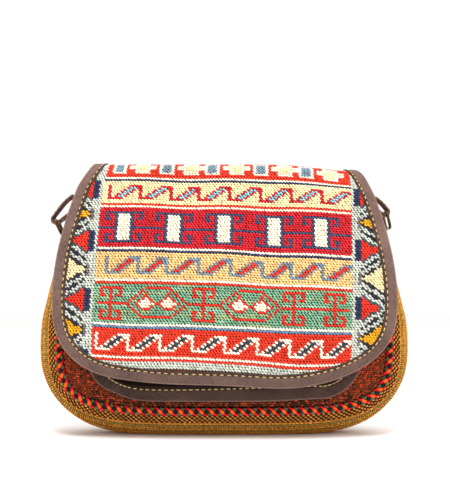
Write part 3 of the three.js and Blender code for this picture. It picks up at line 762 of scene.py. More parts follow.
def canvas_material(name, face, deep, worn, foot=None):
    """Cotton twill with faint lines, faded patches and specks. It may darken towards the bag's foot:
    painted shade, as the light falls from above.
    """
    graph = new_graph(name)
    twill = graph.node(
        "TexWave",
        {"wave_type": "BANDS", "bands_direction": "DIAGONAL"},
        Vector=graph.position(),
        Scale=2 * math.pi / (WAVE_NUMBER * TWILL_PITCH * MM),
        Distortion=1.6,
        Detail=2.0,
        Detail_Scale=3.0,
    )
    threads = twill.outputs["Fac"]
    patches = graph.noise(scale=45.0, detail=5.0)
    tint = graph.mix(graph.ranged(patches, PATCH_EDGES), colour(deep), colour(face))
    tint = graph.mix(graph.ranged(threads, TWILL_EDGES, TWILL_SHARE), tint, colour(worn))
    tint = graph.brightness(tint, graph.ranged(graph.noise(scale=800.0), MID_NOISE, SPECK_SHADES))
    # Painted shade: the canvas grows darker towards the bag's foot, as the light falls from above
    if foot is not None:
        height = graph.height(graph.position())
        tint = graph.brightness(tint, graph.ranged(height, FOOT_SHADE_HEIGHTS, (foot, FOOT_SHADE_TOP)))
    folds = graph.bump(graph.noise(scale=160.0, detail=4.0), strength=0.35, distance=0.0012)
    return graph.finish(
        Base_Color=tint,
        Roughness=0.9,
        Specular_IOR_Level=0.2,
        Normal=graph.bump(threads, strength=0.5, distance=0.00025, Normal=folds),
    )


TARNISH_EDGES = (0.35, 0.7)
BRASS_ROUGHNESS = (0.18, 0.42)


def brass_material():
    graph = new_graph("aged_brass")
    tarnish = graph.noise(scale=260.0, detail=5.0)
    return graph.finish(
        Base_Color=graph.mix(graph.ranged(tarnish, TARNISH_EDGES), colour("6E5232"), colour("2A1F16")),
        Metallic=0.95,
        Roughness=graph.ranged(tarnish, MID_NOISE, BRASS_ROUGHNESS),
        Normal=graph.bump(graph.noise(scale=900.0), strength=0.12, distance=0.0002),
    )


def thread_material():
    graph = new_graph("gold_thread")
    fibres = graph.noise(scale=4200.0)
    return graph.finish(
        Base_Color=graph.mix(graph.ranged(fibres, MID_NOISE), colour("A8853E"), colour("E4CB86")),
        Roughness=0.55,
        Sheen_Weight=0.3,
        Normal=graph.bump(fibres, strength=0.3, distance=0.0002),
    )


def floor_material():
    graph = new_graph("pale_floor")
    return graph.finish(
        Base_Color=graph.mix(graph.noise(scale=3.0), colour("F6F5F3"), colour("FAF9F8")),
        Roughness=0.9,
    )


# Yarns: the colour of a stitch and of the painted shadow between stitches
SOUMAK_YARNS = {
    "crimson": ("D62A34", "420810"),
    "scarlet": ("F23A2A", "6A120C"),
    "orange_red": ("EE3F2A", "6C140A"),
    "cream": ("FFF6E0", "EFC48A"),
    "ivory": ("FDF5E2", "C8B48C"),
    "straw": ("FBE8B6", "CFA660"),
    "peach": ("FCCD8C", "B87636"),
    "mint": ("9ECCAC", "1A3022"),
    "green": ("82B492", "101F16"),
    "olive_green": ("A4BC8C", "24341F"),
    "slate": ("465270", "0C0A16"),
    "ink": ("35353F", "0A0910"),
    "navy": ("353D5C", "0B0A16"),
    "charcoal": ("48454C", "131216"),
    "sky": ("96CCDA", "203848"),
    "steel": ("7E95A4", "39464F"),
    "blue": ("6488A6", "22344A"),
    "teal": ("3F5E66", "122024"),
    "amber": ("F6AE22", "96600E"),
    "celadon": ("CDD1C4", "6E7066"),
    "taupe": ("7C7270", "2A2428"),
}
WOOL_YARNS = {
    "rust": ("B04420", "220804"),
    "ember": ("D24C28", "340C06"),
    "umber": ("8A3C20", "180805"),
    "bark": ("4A2716", "0E0604"),
    "gold_rib": ("F2A442", "84440F"),
    "honey_rib": ("DA8C34", "74400F"),
    "olive_rib": ("A08A40", "4A3A14"),
    "black_rib": ("1E1815", "060403"),
    "braid_red": ("FA1428", "7A0410"),
    "braid_orange": ("FF5E1E", "9A2C06"),
    "braid_olive": ("5E6E4A", "1C2414"),
    "braid_black": ("16201E", "050606"),
}
YARN_NUMBER = {name: number for number, name in enumerate([*SOUMAK_YARNS, *WOOL_YARNS])}
YARN_MATERIALS = [yarn_material("soumak_" + name, *pair) for name, pair in SOUMAK_YARNS.items()]
YARN_MATERIALS += [yarn_material("wool_" + name, *pair) for name, pair in WOOL_YARNS.items()]


def choose(default, *cases):
    """Numbers of yarns: for each stitch the first case that holds, or else the default."""
    holds = [case for case, _ in cases]
    return np.select(holds, [YARN_NUMBER[name] for _, name in cases], YARN_NUMBER[default])


# Canvases: colours of the cloth, its shaded patches and its worn threads, and how dark the painted shade
# makes the bag's foot
# The tapes darken towards the bag's foot: painted shade of light from above
TAPE_FOOT_SHADE = 0.68
CANVAS = canvas_material("brown_canvas", "735850", "56403A", "92766A", TAPE_FOOT_SHADE)
# Painted shade in the tape's groove and on the band inside its stitches
CANVAS_GROOVE_SHADE = canvas_material("painted_groove_shade", "4A3730", "32231E", "5E4840")
# The pocket tape is darker than the flap's tape: painted shade under the flap
POCKET_CANVAS_SHADED = canvas_material("pocket_canvas_painted_shade", "45322C", "2E1F1A", "5E483F")
LINING = canvas_material("plum_lining", "4A3234", "35211F", "5A4042")
GROUND = canvas_material("wool_ground", "6E4028", "4A2818", "84543A")
AMBER_GROUND = canvas_material("amber_ground", "6A3E16", "46280C", "84501E")
# Painted highlight where the tapes fold over the edge: a lighter rim
CANVAS_RIM_HIGHLIGHT = canvas_material("painted_rim_highlight", "947A6E", "7C6258", "B0968A", TAPE_FOOT_SHADE)
POCKET_RIM_HIGHLIGHT = canvas_material("pocket_painted_rim_highlight", "6B544C", "544038", "846A60")
# Painted shadow of the flap: on the pocket's cloth and on the pocket tape inside its stitches
POCKET_PAINTED_SHADOW = canvas_material("pocket_painted_shadow", "24130F", "170B09", "34201A")
TAPE_CANVAS = [CANVAS, CANVAS_GROOVE_SHADE, CANVAS_RIM_HIGHLIGHT]
POCKET_TAPE_CANVAS = [POCKET_CANVAS_SHADED, POCKET_PAINTED_SHADOW, POCKET_RIM_HIGHLIGHT]
BRASS = brass_material()
THREAD = thread_material()


# Soumak pattern, painted in stitches: columns count from the middle and rows from the lower edge

FIELD_COLUMNS = 40
EDGE_COLUMNS = 54
STREAK_RUN = (3, 16)


class Weave:
    """A grid of stitches, each with the number of its yarn."""

    def __init__(self, rows):
        self.cells = np.zeros((rows, 2 * EDGE_COLUMNS + 1), int)

    def box(self, low, high, first, last, yarn):
        """All stitches between two rows and two columns, as far as the field goes."""
        start = max(first, -FIELD_COLUMNS) + EDGE_COLUMNS
        end = min(last, FIELD_COLUMNS) + EDGE_COLUMNS
        self.cells[low : high + 1, start : end + 1] = YARN_NUMBER[yarn]

    def line(self, row, first, last, yarn):
        self.box(row, row, first, last, yarn)

    def post(self, column, low, high, yarn):
        self.box(low, high, column, column, yarn)

    def spot(self, row, column, yarn):
        self.box(row, row, column, column, yarn)

    def ground(self, row, rows, yarn):
        self.box(row, row + rows - 1, -FIELD_COLUMNS, FIELD_COLUMNS, yarn)

    def streaks(self, row, rows, yarns):
        """A ground of uneven dye: along each row the yarn changes after a run of stitches."""
        for place in range(row, row + rows):
            column = -FIELD_COLUMNS
            while column <= FIELD_COLUMNS:
                run = int(RANDOM.integers(*STREAK_RUN))
                self.line(place, column, column + run - 1, yarns[RANDOM.integers(len(yarns))])
                column += run


def stripes(*yarns):
    return [(1, Weave.ground, (yarn,)) for yarn in yarns]


def repeats(start, pitch):
    """Columns of a figure that is repeated across the field, each at its nearest stitch."""
    count = math.ceil((FIELD_COLUMNS - start) / pitch)
    return [round(start + number * pitch) for number in range(count)]


WAVE_ROWS = 11
WAVE_MARGIN = 2
WAVE_RISE = 6
WAVE_FOOT = 4
WAVE_SLOPE = 3


def wave_band(weave, row, rows, start, pitch, yarns):
    """A running wave: a post, a foot and a stepped slope that climbs to the next post."""
    ground, outline, fill = yarns
    weave.ground(row, rows, ground)
    base = row + WAVE_MARGIN
    top = base + WAVE_RISE
    posts = repeats(start, pitch)
    for post, following in zip(posts, [*posts[1:], posts[-1] + round(pitch)]):
        weave.post(post, base, top, outline)
        weave.line(base, post, post + WAVE_FOOT, outline)
        for step in range(1, WAVE_RISE):
            left = post + step + 1
            weave.spot(base + step, left, outline)
            weave.line(base + step, left + 1, left + WAVE_SLOPE - 1, fill)
            weave.spot(base + step, min(left + WAVE_SLOPE, following - 1), outline)
        weave.line(top, following - WAVE_SLOPE, following, outline)


HOOK = 3


def hooked_bar(weave, bar, turn, first, last, yarn):
    """A bar whose two ends turn up or down, and then in."""
    tip = bar + turn * HOOK
    weave.line(bar, first, last, yarn)
    for end, inward in ((first, 1), (last, -1)):
        weave.post(end, min(bar, tip), max(bar, tip), yarn)
        weave.spot(tip, end + inward, yarn)


GATE_PLACES = (-33, -17, -1, 15, 30)
GATE_ROWS = (2, 8, 15)
GATE_FILL = (-1, 2)
GATE_POSTS = (-2, 3)
GATE_BARS = (-5, 6)


def gate_band(weave, row, rows):
    """Cream uprights between posts, with hooked bars at head and foot, joined by a middle line."""
    weave.ground(row, rows, "crimson")
    low, middle, high = (row + place for place in GATE_ROWS)
    weave.line(middle, -FIELD_COLUMNS, FIELD_COLUMNS, "slate")
    for left in GATE_PLACES:
        weave.box(low + 1, high - 1, *(left + step for step in GATE_FILL), "cream")
        for step in GATE_POSTS:
            weave.post(left + step, low, high, "slate")
        for bar, turn in ((low, 1), (high, -1)):
            hooked_bar(weave, bar, turn, *(left + step for step in GATE_BARS), "slate")


HEXAGON_STARTS = (-29, 0)
HEXAGON_LENGTH = 17
HEXAGON_MIDDLE = 7
HEXAGON_SLOPES = ((1, 5), (-1, 4))
HOOKED_CENTRES = (-35, -6, 22, 35)
HOOKED_REACH = 6
LOZENGE_INSET = 5
LOZENGE = (
    (1, -2, 2, "scarlet"),
    (2, -1, 1, "scarlet"),
    (3, 0, 0, "scarlet"),
    (0, 3, 4, "scarlet"),
    (1, -1, 1, "cream"),
    (2, 0, 0, "cream"),
    (0, 2, 2, "cream"),
)
GREENS = ("green", "green", "green", "mint", "olive_green")


def figure(weave, row, centre, boxes):
    """Boxes round a column, each with its half-width, lowest row, highest row and yarn."""
    for reach, low, high, yarn in boxes:
        weave.box(row + low, row + high, centre - reach, centre + reach, yarn)


def hexagon_band(weave, row, rows):
    """Long hexagons that hold two lozenges each, between posts with hooked bars."""
    weave.streaks(row, rows, GREENS)
    middle = row + HEXAGON_MIDDLE
    weave.line(middle, 1 - FIELD_COLUMNS, FIELD_COLUMNS - 1, "scarlet")
    for centre in HOOKED_CENTRES:
        weave.post(centre, middle - HOOKED_REACH, middle + HOOKED_REACH, "scarlet")
        for turn in (1, -1):
            hooked_bar(weave, middle - turn * HOOKED_REACH, turn, centre - HOOK, centre + HOOK, "scarlet")
    for start in HEXAGON_STARTS:
        end = start + HEXAGON_LENGTH
        weave.line(middle, start, end, "green")
        for turn, steps in HEXAGON_SLOPES:
            for step in range(steps):
                weave.spot(middle + turn * (step + 1), start + step, "scarlet")
                weave.spot(middle + turn * (step + 1), end - step, "scarlet")
            weave.line(middle + turn * (steps + 1), start + steps, end - steps, "scarlet")
        for centre in (start + LOZENGE_INSET, end - LOZENGE_INSET):
            figure(weave, middle, centre, LOZENGE)


# Crosses and bars: the column of the first, and its boxes
CROSS_PITCH = 15.6
CROSSES = (-28, ((2, 2, 11, "ivory"), (4, 5, 8, "ivory"), (1, 3, 10, "straw"), (3, 6, 7, "straw")))
BARS = (-36, ((2, 2, 11, "ivory"), (1, 3, 10, "steel")))


def cross_band(weave, row, rows):
    """Cream crosses and grey bars, each with a white outline, side by side on red."""
    weave.ground(row, rows, "orange_red")
    for start, boxes in (CROSSES, BARS):
        for centre in repeats(start, CROSS_PITCH):
            figure(weave, row, centre, boxes)


# Bands from the lower edge up: rows, painter, and what it needs
LOWER_WAVE = (WAVE_ROWS, wave_band, (-39, 10, ("orange_red", "ivory", "charcoal")))
MIDDLE_WAVE = (WAVE_ROWS, wave_band, (-37, 9.7, ("peach", "steel", "orange_red")))
UPPER_WAVE = (WAVE_ROWS, wave_band, (-38, 9.8, ("straw", "crimson", "sky")))
GATES = (18, gate_band, ())
LAYOUT = (
    *stripes("celadon", "celadon", "celadon", "scarlet", "ivory"),
    LOWER_WAVE,
    *stripes("blue", "ivory"),
    (15, hexagon_band, ()),
    *stripes("scarlet", "ivory"),
    MIDDLE_WAVE,
    *stripes("navy", "ivory"),
    GATES,
    *stripes("cream", "scarlet"),
    UPPER_WAVE,
    *stripes("navy", "ivory"),
    (14, cross_band, ()),
    *stripes("ivory", "navy"),
    UPPER_WAVE,
    *stripes("scarlet", "cream"),
    GATES,
    *stripes("ivory"),
    MIDDLE_WAVE,
)
PATTERN_ROWS = sum(count for count, _, _ in LAYOUT)

BORDER_PERIOD = 24
BORDER_CENTRE = 26
BORDER_STRIP = 2
STRIP_DARK = 5
STRIP_TAUPE = 9
TRIANGLE_HALF = 4.4
TRIANGLE_STEP = 0.8
ZIGZAG = ((0, "scarlet"), (1, "teal"), (2.8, "celadon"), (4.1, "ink"), (6.0, "celadon"), (7.3, "ink"))


def border_yarn(row, step):
    """Yarn of a side border, a number of columns outside the field: stepped triangles in a zigzag."""
    phase = (row - BORDER_CENTRE) % BORDER_PERIOD
    away = min(phase, BORDER_PERIOD - phase)
    if step <= BORDER_STRIP:
        if step > 0 and away < STRIP_DARK:
            return "navy"
        return "taupe" if step == BORDER_STRIP and away > STRIP_TAUPE else "celadon"
    edge = away - (TRIANGLE_HALF - TRIANGLE_STEP * (step - BORDER_STRIP - 1))
    for limit, yarn in ZIGZAG:
        if edge < limit:
            return yarn
    number = round((row - BORDER_CENTRE - BORDER_PERIOD / 2) / BORDER_PERIOD)
    return "amber" if number % 2 else "straw"


def soumak_pattern():
    weave = Weave(PATTERN_ROWS)
    row = 0
    for count, paint, values in LAYOUT:
        paint(weave, row, count, *values)
        row += count
    for place in range(PATTERN_ROWS):
        for step in range(EDGE_COLUMNS - FIELD_COLUMNS):
            number = YARN_NUMBER[border_yarn(place, step)]
            for side in (-1, 1):
                weave.cells[place, EDGE_COLUMNS + side * (FIELD_COLUMNS + 1 + step)] = number
    return weave.cells


# Flap

FLAP_ROW_MARGIN = 0.06
FLAP_COLUMNS = 49
GROUND_ROWS = 120
LINING_ROWS = 110
GROUND_SINK = 0.25
LINING_FACE = -FLAP_CLOTH - SEWN_GAP
LINING_SAG = 0.12


def flap_sheet(name, node, rows, material, slot, face, back, sag, rests_on):
    low, high, width_at = inset_widths(FLAP_OUTLINE, EDGE_ALLOWANCE)
    along = eased_rows(low, high, rows, FLAP_ROW_MARGIN)
    x, place = cloth_grid(width_at, along, FLAP_COLUMNS)
    uneven = sag * ripples(x, place, wavelength=26, seed=5)
    cloth(
        name, node, material, slot,
        on_flap(x, place, face + uneven),
        on_flap(x, place, back + uneven),
        flat=metres(2 * FLAP_HALF_WIDTH, FLAP_LENGTH),
        held="folded",
        rests_on=rests_on,
        area=flat_area(width_at, along),
    )


STITCH = 2.07
ROW = 1.7
STITCH_SIZE = (1.62, 0.83, 0.8)
GREEN_STITCH = (1.1, 0.82, 1)
STITCH_HEIGHT = 0.12
STITCH_SLANT = math.radians(35)
CLOTH_TURN = math.radians(-2)
CLOTH_ORIGIN = np.array([-3.1, 9.7])
TAPE_OVERLAP = 1.2
ROW_WANDER = 0.55
ROW_STAGGER = 0.32
STITCH_STRAY = 0.1
ROW_STRAY = 0.06
SLANT_STRAY = 0.07
STITCH_SPREAD = 0.05
WEAVE_PIECES = (("lower", 0, 46), ("middle", 46, 81), ("rear", 81, PATTERN_ROWS))


def flap_weave():
    cells = soumak_pattern()
    low, high, width_at = inset_widths(FLAP_OUTLINE, FLAP_TAPE_WIDTH - TAPE_OVERLAP)
    row, column = counted(*cells.shape)
    column = column - EDGE_COLUMNS
    stagger = ROW_STAGGER * np.where(row % 2, 1, -1)
    across = column * STITCH + stagger + strays(STITCH_STRAY, column)
    upward = (row + 0.5) * ROW + strays(ROW_STRAY, row)
    cos, sin = math.cos(CLOTH_TURN), math.sin(CLOTH_TURN)
    x = CLOTH_ORIGIN[0] + cos * across - sin * upward
    wander = ROW_WANDER * ripples(x, upward, wavelength=85, seed=61)
    along = CLOTH_ORIGIN[1] + sin * across + cos * upward + wander
    inside = (np.abs(x) < width_at(along)) & (along > low) & (along < high)
    row, column, x, along, yarns = (values[inside] for values in (row, column, x, along, cells.ravel()))
    centres, right, up, normal = surface_frame(on_flap, x, along, STITCH_HEIGHT)
    slant = CLOTH_TURN - STITCH_SLANT + strays(SLANT_STRAY, x)
    sizes = varied(STITCH_SIZE, STITCH_SPREAD, len(x))
    sizes[np.isin(yarns, [YARN_NUMBER[name] for name in GREENS])] *= GREEN_STITCH
    field = np.abs(column) <= FIELD_COLUMNS
    groups = []
    for name, first, last in WEAVE_PIECES:
        groups.append(("flap_weave_" + name, field & (row >= first) & (row < last)))
    groups.append(("flap_border_left", column < -FIELD_COLUMNS))
    groups.append(("flap_border_right", column > FIELD_COLUMNS))
    bead_pieces(groups, (centres, slanted(right, up, slant), normal, sizes), yarns, "soumak")


# Tapes folded over the edge of a cloth, with their stitches and puckers. The puckers lie at some bends,
# each with a place, a width and a strength, or all along the edge.

TAPES = {
    "flap": dict(
        back=-FLAP_LAYERS, face=0, width=FLAP_TAPE_WIDTH, stitch=7.1, pitch=4.5, steps=560,
        rise=0.2, pucker=5.3, slant=0, reach=8, bends=((0.17, 0.035, 1), (0.83, 0.035, 1)),
    ),
    "pocket": dict(
        back=POCKET_BACK, face=POCKET_FACE, width=10.5, stitch=POCKET_STITCH, pitch=4.0, steps=400,
        rise=0.5, pucker=5.2, slant=0.25, reach=7, bends=((0.165, 0.04, 1), (0.835, 0.045, 1.5)),
    ),
    "mouth": dict(
        back=-WALL, face=0, width=8, stitch=6.4, pitch=4.5, steps=160,
        rise=0.05, pucker=6.1, slant=0, reach=6, bends=(),
    ),
}
LIP_RISE = 0.28
LIP_WIDTH = 0.75
LIP_SHIFT = 0.15
GROOVE_DEPTH = 0.62
GROOVE_WIDTH = 0.62
# How far out from the stitch line the painted groove shade reaches
GROOVE_SHADE_REACH = 0.4
GROOVE_SPAN = 1.1
FLAT_STEPS = 6
GROOVE_STEPS = 12
FLAT_END = 1.4
LIP_END = 0.25
LIP_FOOT = 0.45
UNDER_END = 0.3
# Width of the painted highlight on a tape's folded rim
RIM_HIGHLIGHT_WIDTH = 0.9
FOLD_ROUND = 1.5
FOLD_STEPS = 5
HOLE_DEPTH = 0.22
TAPE_RIPPLES = ((0.13, 15, 21), (0.06, 5, 22))
DASH_SIZE = (1.5, 0.43, 0.42)
DASH_SPREAD = 0.06
DASH_SINK = 0.28
DASH_PROBE = 0.5
UNDER_DASH_RISE = 0.05


def tape_section(width, low, high, stitch):
    """Outer line of a folded tape, as distances inward from its edge and heights."""
    near = np.linspace(FOLD_ROUND, stitch - FLAT_END, FLAT_STEPS)
    groove = np.linspace(stitch - GROOVE_SPAN, width - LIP_END, GROOVE_STEPS)
    top = np.concatenate([near, groove])
    lip_at = (stitch + width) / 2 + LIP_SHIFT
    rise = LIP_RISE * hump(top, lip_at, LIP_WIDTH) - GROOVE_DEPTH * hump(top, stitch, GROOVE_WIDTH)
    top_height = high + TAPE + rise
    turn = np.linspace(np.pi / 2, 0, FOLD_STEPS)[1:]
    corner_d = FOLD_ROUND - FOLD_ROUND * np.sin(np.pi / 2 - turn)
    corner_drop = FOLD_ROUND * (1 - np.cos(np.pi / 2 - turn))
    under = np.array([FOLD_ROUND, (FOLD_ROUND + width) / 2, width - UNDER_END])
    distance = np.concatenate([[width], top[::-1], corner_d, corner_d[::-1], under, [width]])
    upper = np.concatenate([[high + LIP_FOOT], top_height[::-1], high + TAPE - corner_drop])
    flat = np.full_like(under, low - TAPE)
    lower = np.concatenate([low - TAPE + corner_drop[::-1], flat, [low - UNDER_END]])
    return distance, np.concatenate([upper, lower])


def tape_puckers(tape, length, u, d):
    bends = [strength * hump(u / length, place, width) for place, width, strength in tape["bends"]]
    wave = np.sin(2 * np.pi * u / tape["pucker"] + tape["slant"] * d)
    return tape["rise"] * (sum(bends) if bends else 1) * wave * smooth(d, 0, tape["reach"])


def bound_edge(surface, path, tape, loop):
    """Points and faces of a tape folded over an outline, with painted shade marked on its groove and the
    band inside it, and a painted highlight on its folded rim.
    """
    stitch = tape["stitch"]
    low = tape["back"] - SEWN_GAP
    high = tape["face"] + SEWN_GAP
    distance, height = tape_section(tape["width"], low, high, stitch)
    along = np.linspace(0, path.length, tape["steps"] + 1)
    if loop:
        along = along[:-1]
    u = along[:, None]
    d = np.broadcast_to(distance[None, :], (len(along), len(distance)))
    top = smooth(height, high, high + TAPE)[None, :]
    holes = hump(d, stitch, GROOVE_WIDTH) * np.cos(2 * np.pi * u / tape["pitch"])
    soft = sum(rise * ripples(u, d, wavelength, seed) for rise, wavelength, seed in TAPE_RIPPLES)
    lift = top * (soft - HOLE_DEPTH * holes + tape_puckers(tape, path.length, u, d))
    face = surface(*path.inward(u, d), height[None, :] + lift)
    inner_d = np.maximum(d, TAPE)
    inner_h = np.broadcast_to(np.clip(height, low, high)[None, :], inner_d.shape)
    back = surface(*path.inward(u, inner_d), inner_h)
    points, faces = closed_sheet(face, back, loop)
    # Marks for the material slots: 2 is a painted highlight on the folded rim, 1 is painted shade in the
    # groove and inside the stitches
    rim = (distance < RIM_HIGHLIGHT_WIDTH) & (height > (low + high) / 2)
    groove = (distance > stitch - GROOVE_SHADE_REACH) & (height > high)
    shaded = np.where(groove, 1, np.where(rim, 2, 0))
    bands = np.maximum(shaded[:-1], shaded[1:])
    face_rows = len(along) if loop else len(along) - 1
    marks = np.zeros(len(faces), int)
    marks[: face_rows * len(bands)] = np.tile(bands, face_rows)
    return points, faces, marks


def topstitch(name, surface, path, tape, height):
    """A row of thread dashes along a tape."""
    along = spaced(path.length, tape["pitch"])
    first, second = path.inward(along, tape["stitch"])
    ahead = path.inward(np.minimum(along + DASH_PROBE, path.length), tape["stitch"])
    centres, _, _, normal = surface_frame(surface, first, second, height)
    direction = unit(surface(*ahead, height) - centres)
    dashes(name, centres, direction, normal, varied(DASH_SIZE, DASH_SPREAD, len(along)))


def bound_tape(name, surface, path, canvas, loop=True):
    """A tape folded over the edge of a cloth, with its stitches."""
    tape = TAPES[name]
    points, faces, marks = bound_edge(surface, path, tape, loop)
    piece = make_piece(name + "_tape", points, faces, canvas, "canvas", face_slots=marks)
    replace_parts(piece, name + "_binding")
    topstitch(name + "_topstitch", surface, path, tape, tape["face"] + SEWN_GAP + TAPE - DASH_SINK)


def flap_tape():
    bound_tape("flap", on_flap, FLAP_OUTLINE, TAPE_CANVAS)
    under = -FLAP_LAYERS - SEWN_GAP - TAPE - UNDER_DASH_RISE
    topstitch("flap_understitch", on_flap, FLAP_OUTLINE, TAPES["flap"], under)


POCKET_ROWS = 70
POCKET_ROW_MARGIN = 0.05
PANEL_COLUMNS = 61
POCKET_SAG = 0.18


def pocket():
    low, high, width_at = inset_widths(POCKET_OUTLINE, EDGE_ALLOWANCE)
    x, z = cloth_grid(width_at, eased_rows(low, high, POCKET_ROWS, POCKET_ROW_MARGIN), PANEL_COLUMNS)
    sag = POCKET_SAG * ripples(x, z, wavelength=30, seed=31)
    # The pocket's cloth under the flap is painted with the flap's shadow
    cloth(
        "pocket_cloth", "pocket_panel", POCKET_PAINTED_SHADOW, "lining",
        on_pocket(x, z, POCKET_FACE + sag),
        on_pocket(x, z, POCKET_BACK),
        flat=metres(2 * POCKET_HALF_WIDTH, POCKET_TOP - POCKET_FOOT),
        held="stretched",
        rests_on=["front_wool"],
    )
    bound_tape("pocket", on_pocket, POCKET_OUTLINE, POCKET_TAPE_CANVAS)


def mouth_tape():
    _, _, width_at = panel_outline(0)
    half = float(width_at(FRONT_MOUTH))
    edge = even_path([(half, FRONT_MOUTH), (-half, FRONT_MOUTH)])
    bound_tape("mouth", on_front, edge, TAPE_CANVAS, loop=False)


# Wool panels

PANEL_SAMPLES = 1600
PANEL_ROWS = 60
PANEL_ROW_START = 0.012
PANEL_ROW_POWER = 1.3
PANEL_SINK = 0.35
KNOT_SIZE = np.array([0.72, 0.46, 0.5])
KNOT_SPREAD = 0.14
KNOT_STRAY = (0.14, 0.12)
KNOT_FOOT = 0.4
KNOT_EDGE = 0.2
KNOT_RISE = 0.1
KNOT_SLANT = (-0.5, 0.4)
FRONT_KNOTS = 1.45
BACK_KNOTS = 1.95
FRONT_KNOT_TOP = 118
HIDDEN_POCKET = 9
HIDDEN_REAR = 6
FIGURE_COLUMNS = 14
FIGURE_ROWS = 12
FIGURE_PERIOD = 5
FIGURE_LINE = 2
RUST_STRAYS = 0.18
UMBER_STRAYS = 0.3
BARK_STRAYS = 0.94
# Painted shade: more dark bark strays in the lowest rows
WOOL_SHADE_ROWS = 9
WOOL_SHADE_SHARE = 0.55


def panel_outline(depth_share):
    x, z = SEAM.point(np.linspace(0, SEAM.length, PANEL_SAMPLES))
    return inset_widths(Path(np.stack([x, mouth_drop(z, depth_share)], axis=1)), SEAM_ALLOWANCE)


def wool_sheet(name, node, surface, depth_share, top):
    low, _, width_at = panel_outline(depth_share)
    rows = low + (top - low) * np.linspace(PANEL_ROW_START, 1, PANEL_ROWS) ** PANEL_ROW_POWER
    x, z = cloth_grid(width_at, rows, PANEL_COLUMNS)
    cloth(
        name, node, GROUND, "rust_wool",
        surface(x, z, -PANEL_SINK),
        surface(x, z, -WALL),
        flat=metres(2 * SEAM_HALF_WIDTH, top - low),
        held="stretched",
        rests_on=["gusset_ground"],
        area=flat_area(width_at, rows),
    )


def wool_yarn(row, column):
    """Small stepped figures in rust on brown, with strays. In the lowest rows more strays are dark bark:
    painted shade near the foot.
    """
    across = np.abs((column % FIGURE_COLUMNS) - FIGURE_COLUMNS // 2)
    away = across + np.abs((row % FIGURE_ROWS) - FIGURE_ROWS // 2)
    stray = RANDOM.uniform(0, 1, row.shape)
    # More bark in the lowest rows is painted shade near the foot
    dark = np.minimum(1 - WOOL_SHADE_SHARE * (1 - row / WOOL_SHADE_ROWS), BARK_STRAYS)
    return choose(
        "umber",
        (stray > dark, "bark"),
        (stray < RUST_STRAYS, "rust"),
        (stray < UMBER_STRAYS, "umber"),
        (away < FIGURE_LINE, "rust"),
        (away % FIGURE_PERIOD < FIGURE_LINE, "ember"),
    )


def wool_tufts(name, surface, depth_share, pitch, top, covered):
    """Knots of the rust wool in rows, where they can be seen."""
    low, _, width_at = panel_outline(depth_share)
    columns = int(2 * SEAM_HALF_WIDTH / pitch)
    row, column = counted(int((top - low) / pitch), columns)
    stray_x, stray_z = (share * pitch for share in KNOT_STRAY)
    x = (column - columns / 2 + 0.5 + 0.5 * (row % 2)) * pitch + strays(stray_x, row)
    z = low + KNOT_FOOT + (row + 0.5) * pitch + strays(stray_z, row)
    inside = (np.abs(x) < width_at(z) - KNOT_EDGE) & ~covered(x, z)
    row, column, x, z = (values[inside] for values in (row, column, x, z))
    height = strays(KNOT_RISE, x)
    centres, right, up, normal = surface_frame(surface, x, z, height)
    direction = slanted(right, up, RANDOM.normal(*KNOT_SLANT, x.shape))
    sizes = varied(KNOT_SIZE * pitch, KNOT_SPREAD, len(x))
    yarns = wool_yarn(row, column)
    bead_pieces([(name, slice(None))], (centres, direction, normal, sizes), yarns, "rust_wool")


def under_pocket(x, z):
    return (np.abs(x) < POCKET_HALF_WIDTH - HIDDEN_POCKET) & (z > POCKET_FOOT + HIDDEN_POCKET)


def under_flap_rear(x, z):
    low = FOLD_CENTRE[1] - FLAP_REAR_DROP + HIDDEN_REAR
    return (z > low) & (np.abs(x) < FLAP_REAR_HALF - HIDDEN_REAR)


def panels():
    wool_sheet("front_wool", "front_panel", on_front, 0, FRONT_MOUTH - EDGE_ALLOWANCE)
    wool_sheet("back_wool", "back_panel", on_back, 1, BACK_MOUTH)
    wool_tufts("front_tufts", on_front, 0, FRONT_KNOTS, FRONT_KNOT_TOP, under_pocket)
    wool_tufts("back_tufts", on_back, 1, BACK_KNOTS, BACK_MOUTH, under_flap_rear)


# Gusset

GUSSET_STEPS = 180
GUSSET_COLUMNS = 31
GUSSET_SINK = 0.3
GUSSET_FLOOR = 0.6
GUSSET_SAMPLES = 161
GUSSET_LOWEST = 0.85
GUSSET_PROBE = 0.001
GUSSET_STITCH_HEIGHT = -0.2
GUSSET_SPREAD = 0.06
RIB_PITCH = 1.1
RIB_STRAY = 0.07
LEAN_STRAY = 0.06
CHECK_ROWS = 4
CHECK_ROW = 1.95
CHECK_PITCH = 1.65
CHECK_STITCH = (1.12, 0.6, 0.62)
CHECK_LEAN = 0.95
DARK_CHECK = 0.84
PLAIN_ROW = 2.6
PLAIN_STITCH = (1.5, 0.56, 0.6)
PLAIN_LEAN = 0.35
MOST_ROWS = 60
OLIVE_ROW = 5
OLIVE_EDGE_ROW = 8
OLIVE_RIBS = 3
HONEY_RIB, HONEY_ROW, HONEY_PERIOD, HONEY_SHARE = 7, 3, 5, 2
SEAM_END = 0.1


def gusset_lines(along, count):
    """Shares of the depth from one piping to the other, in a line for each place along the seam."""
    edge = gusset_edge(along)[:, None]
    share = lerp(edge, 1 - edge, np.linspace(0, 1, count)[None, :])
    return share, np.broadcast_to(along[:, None], share.shape)


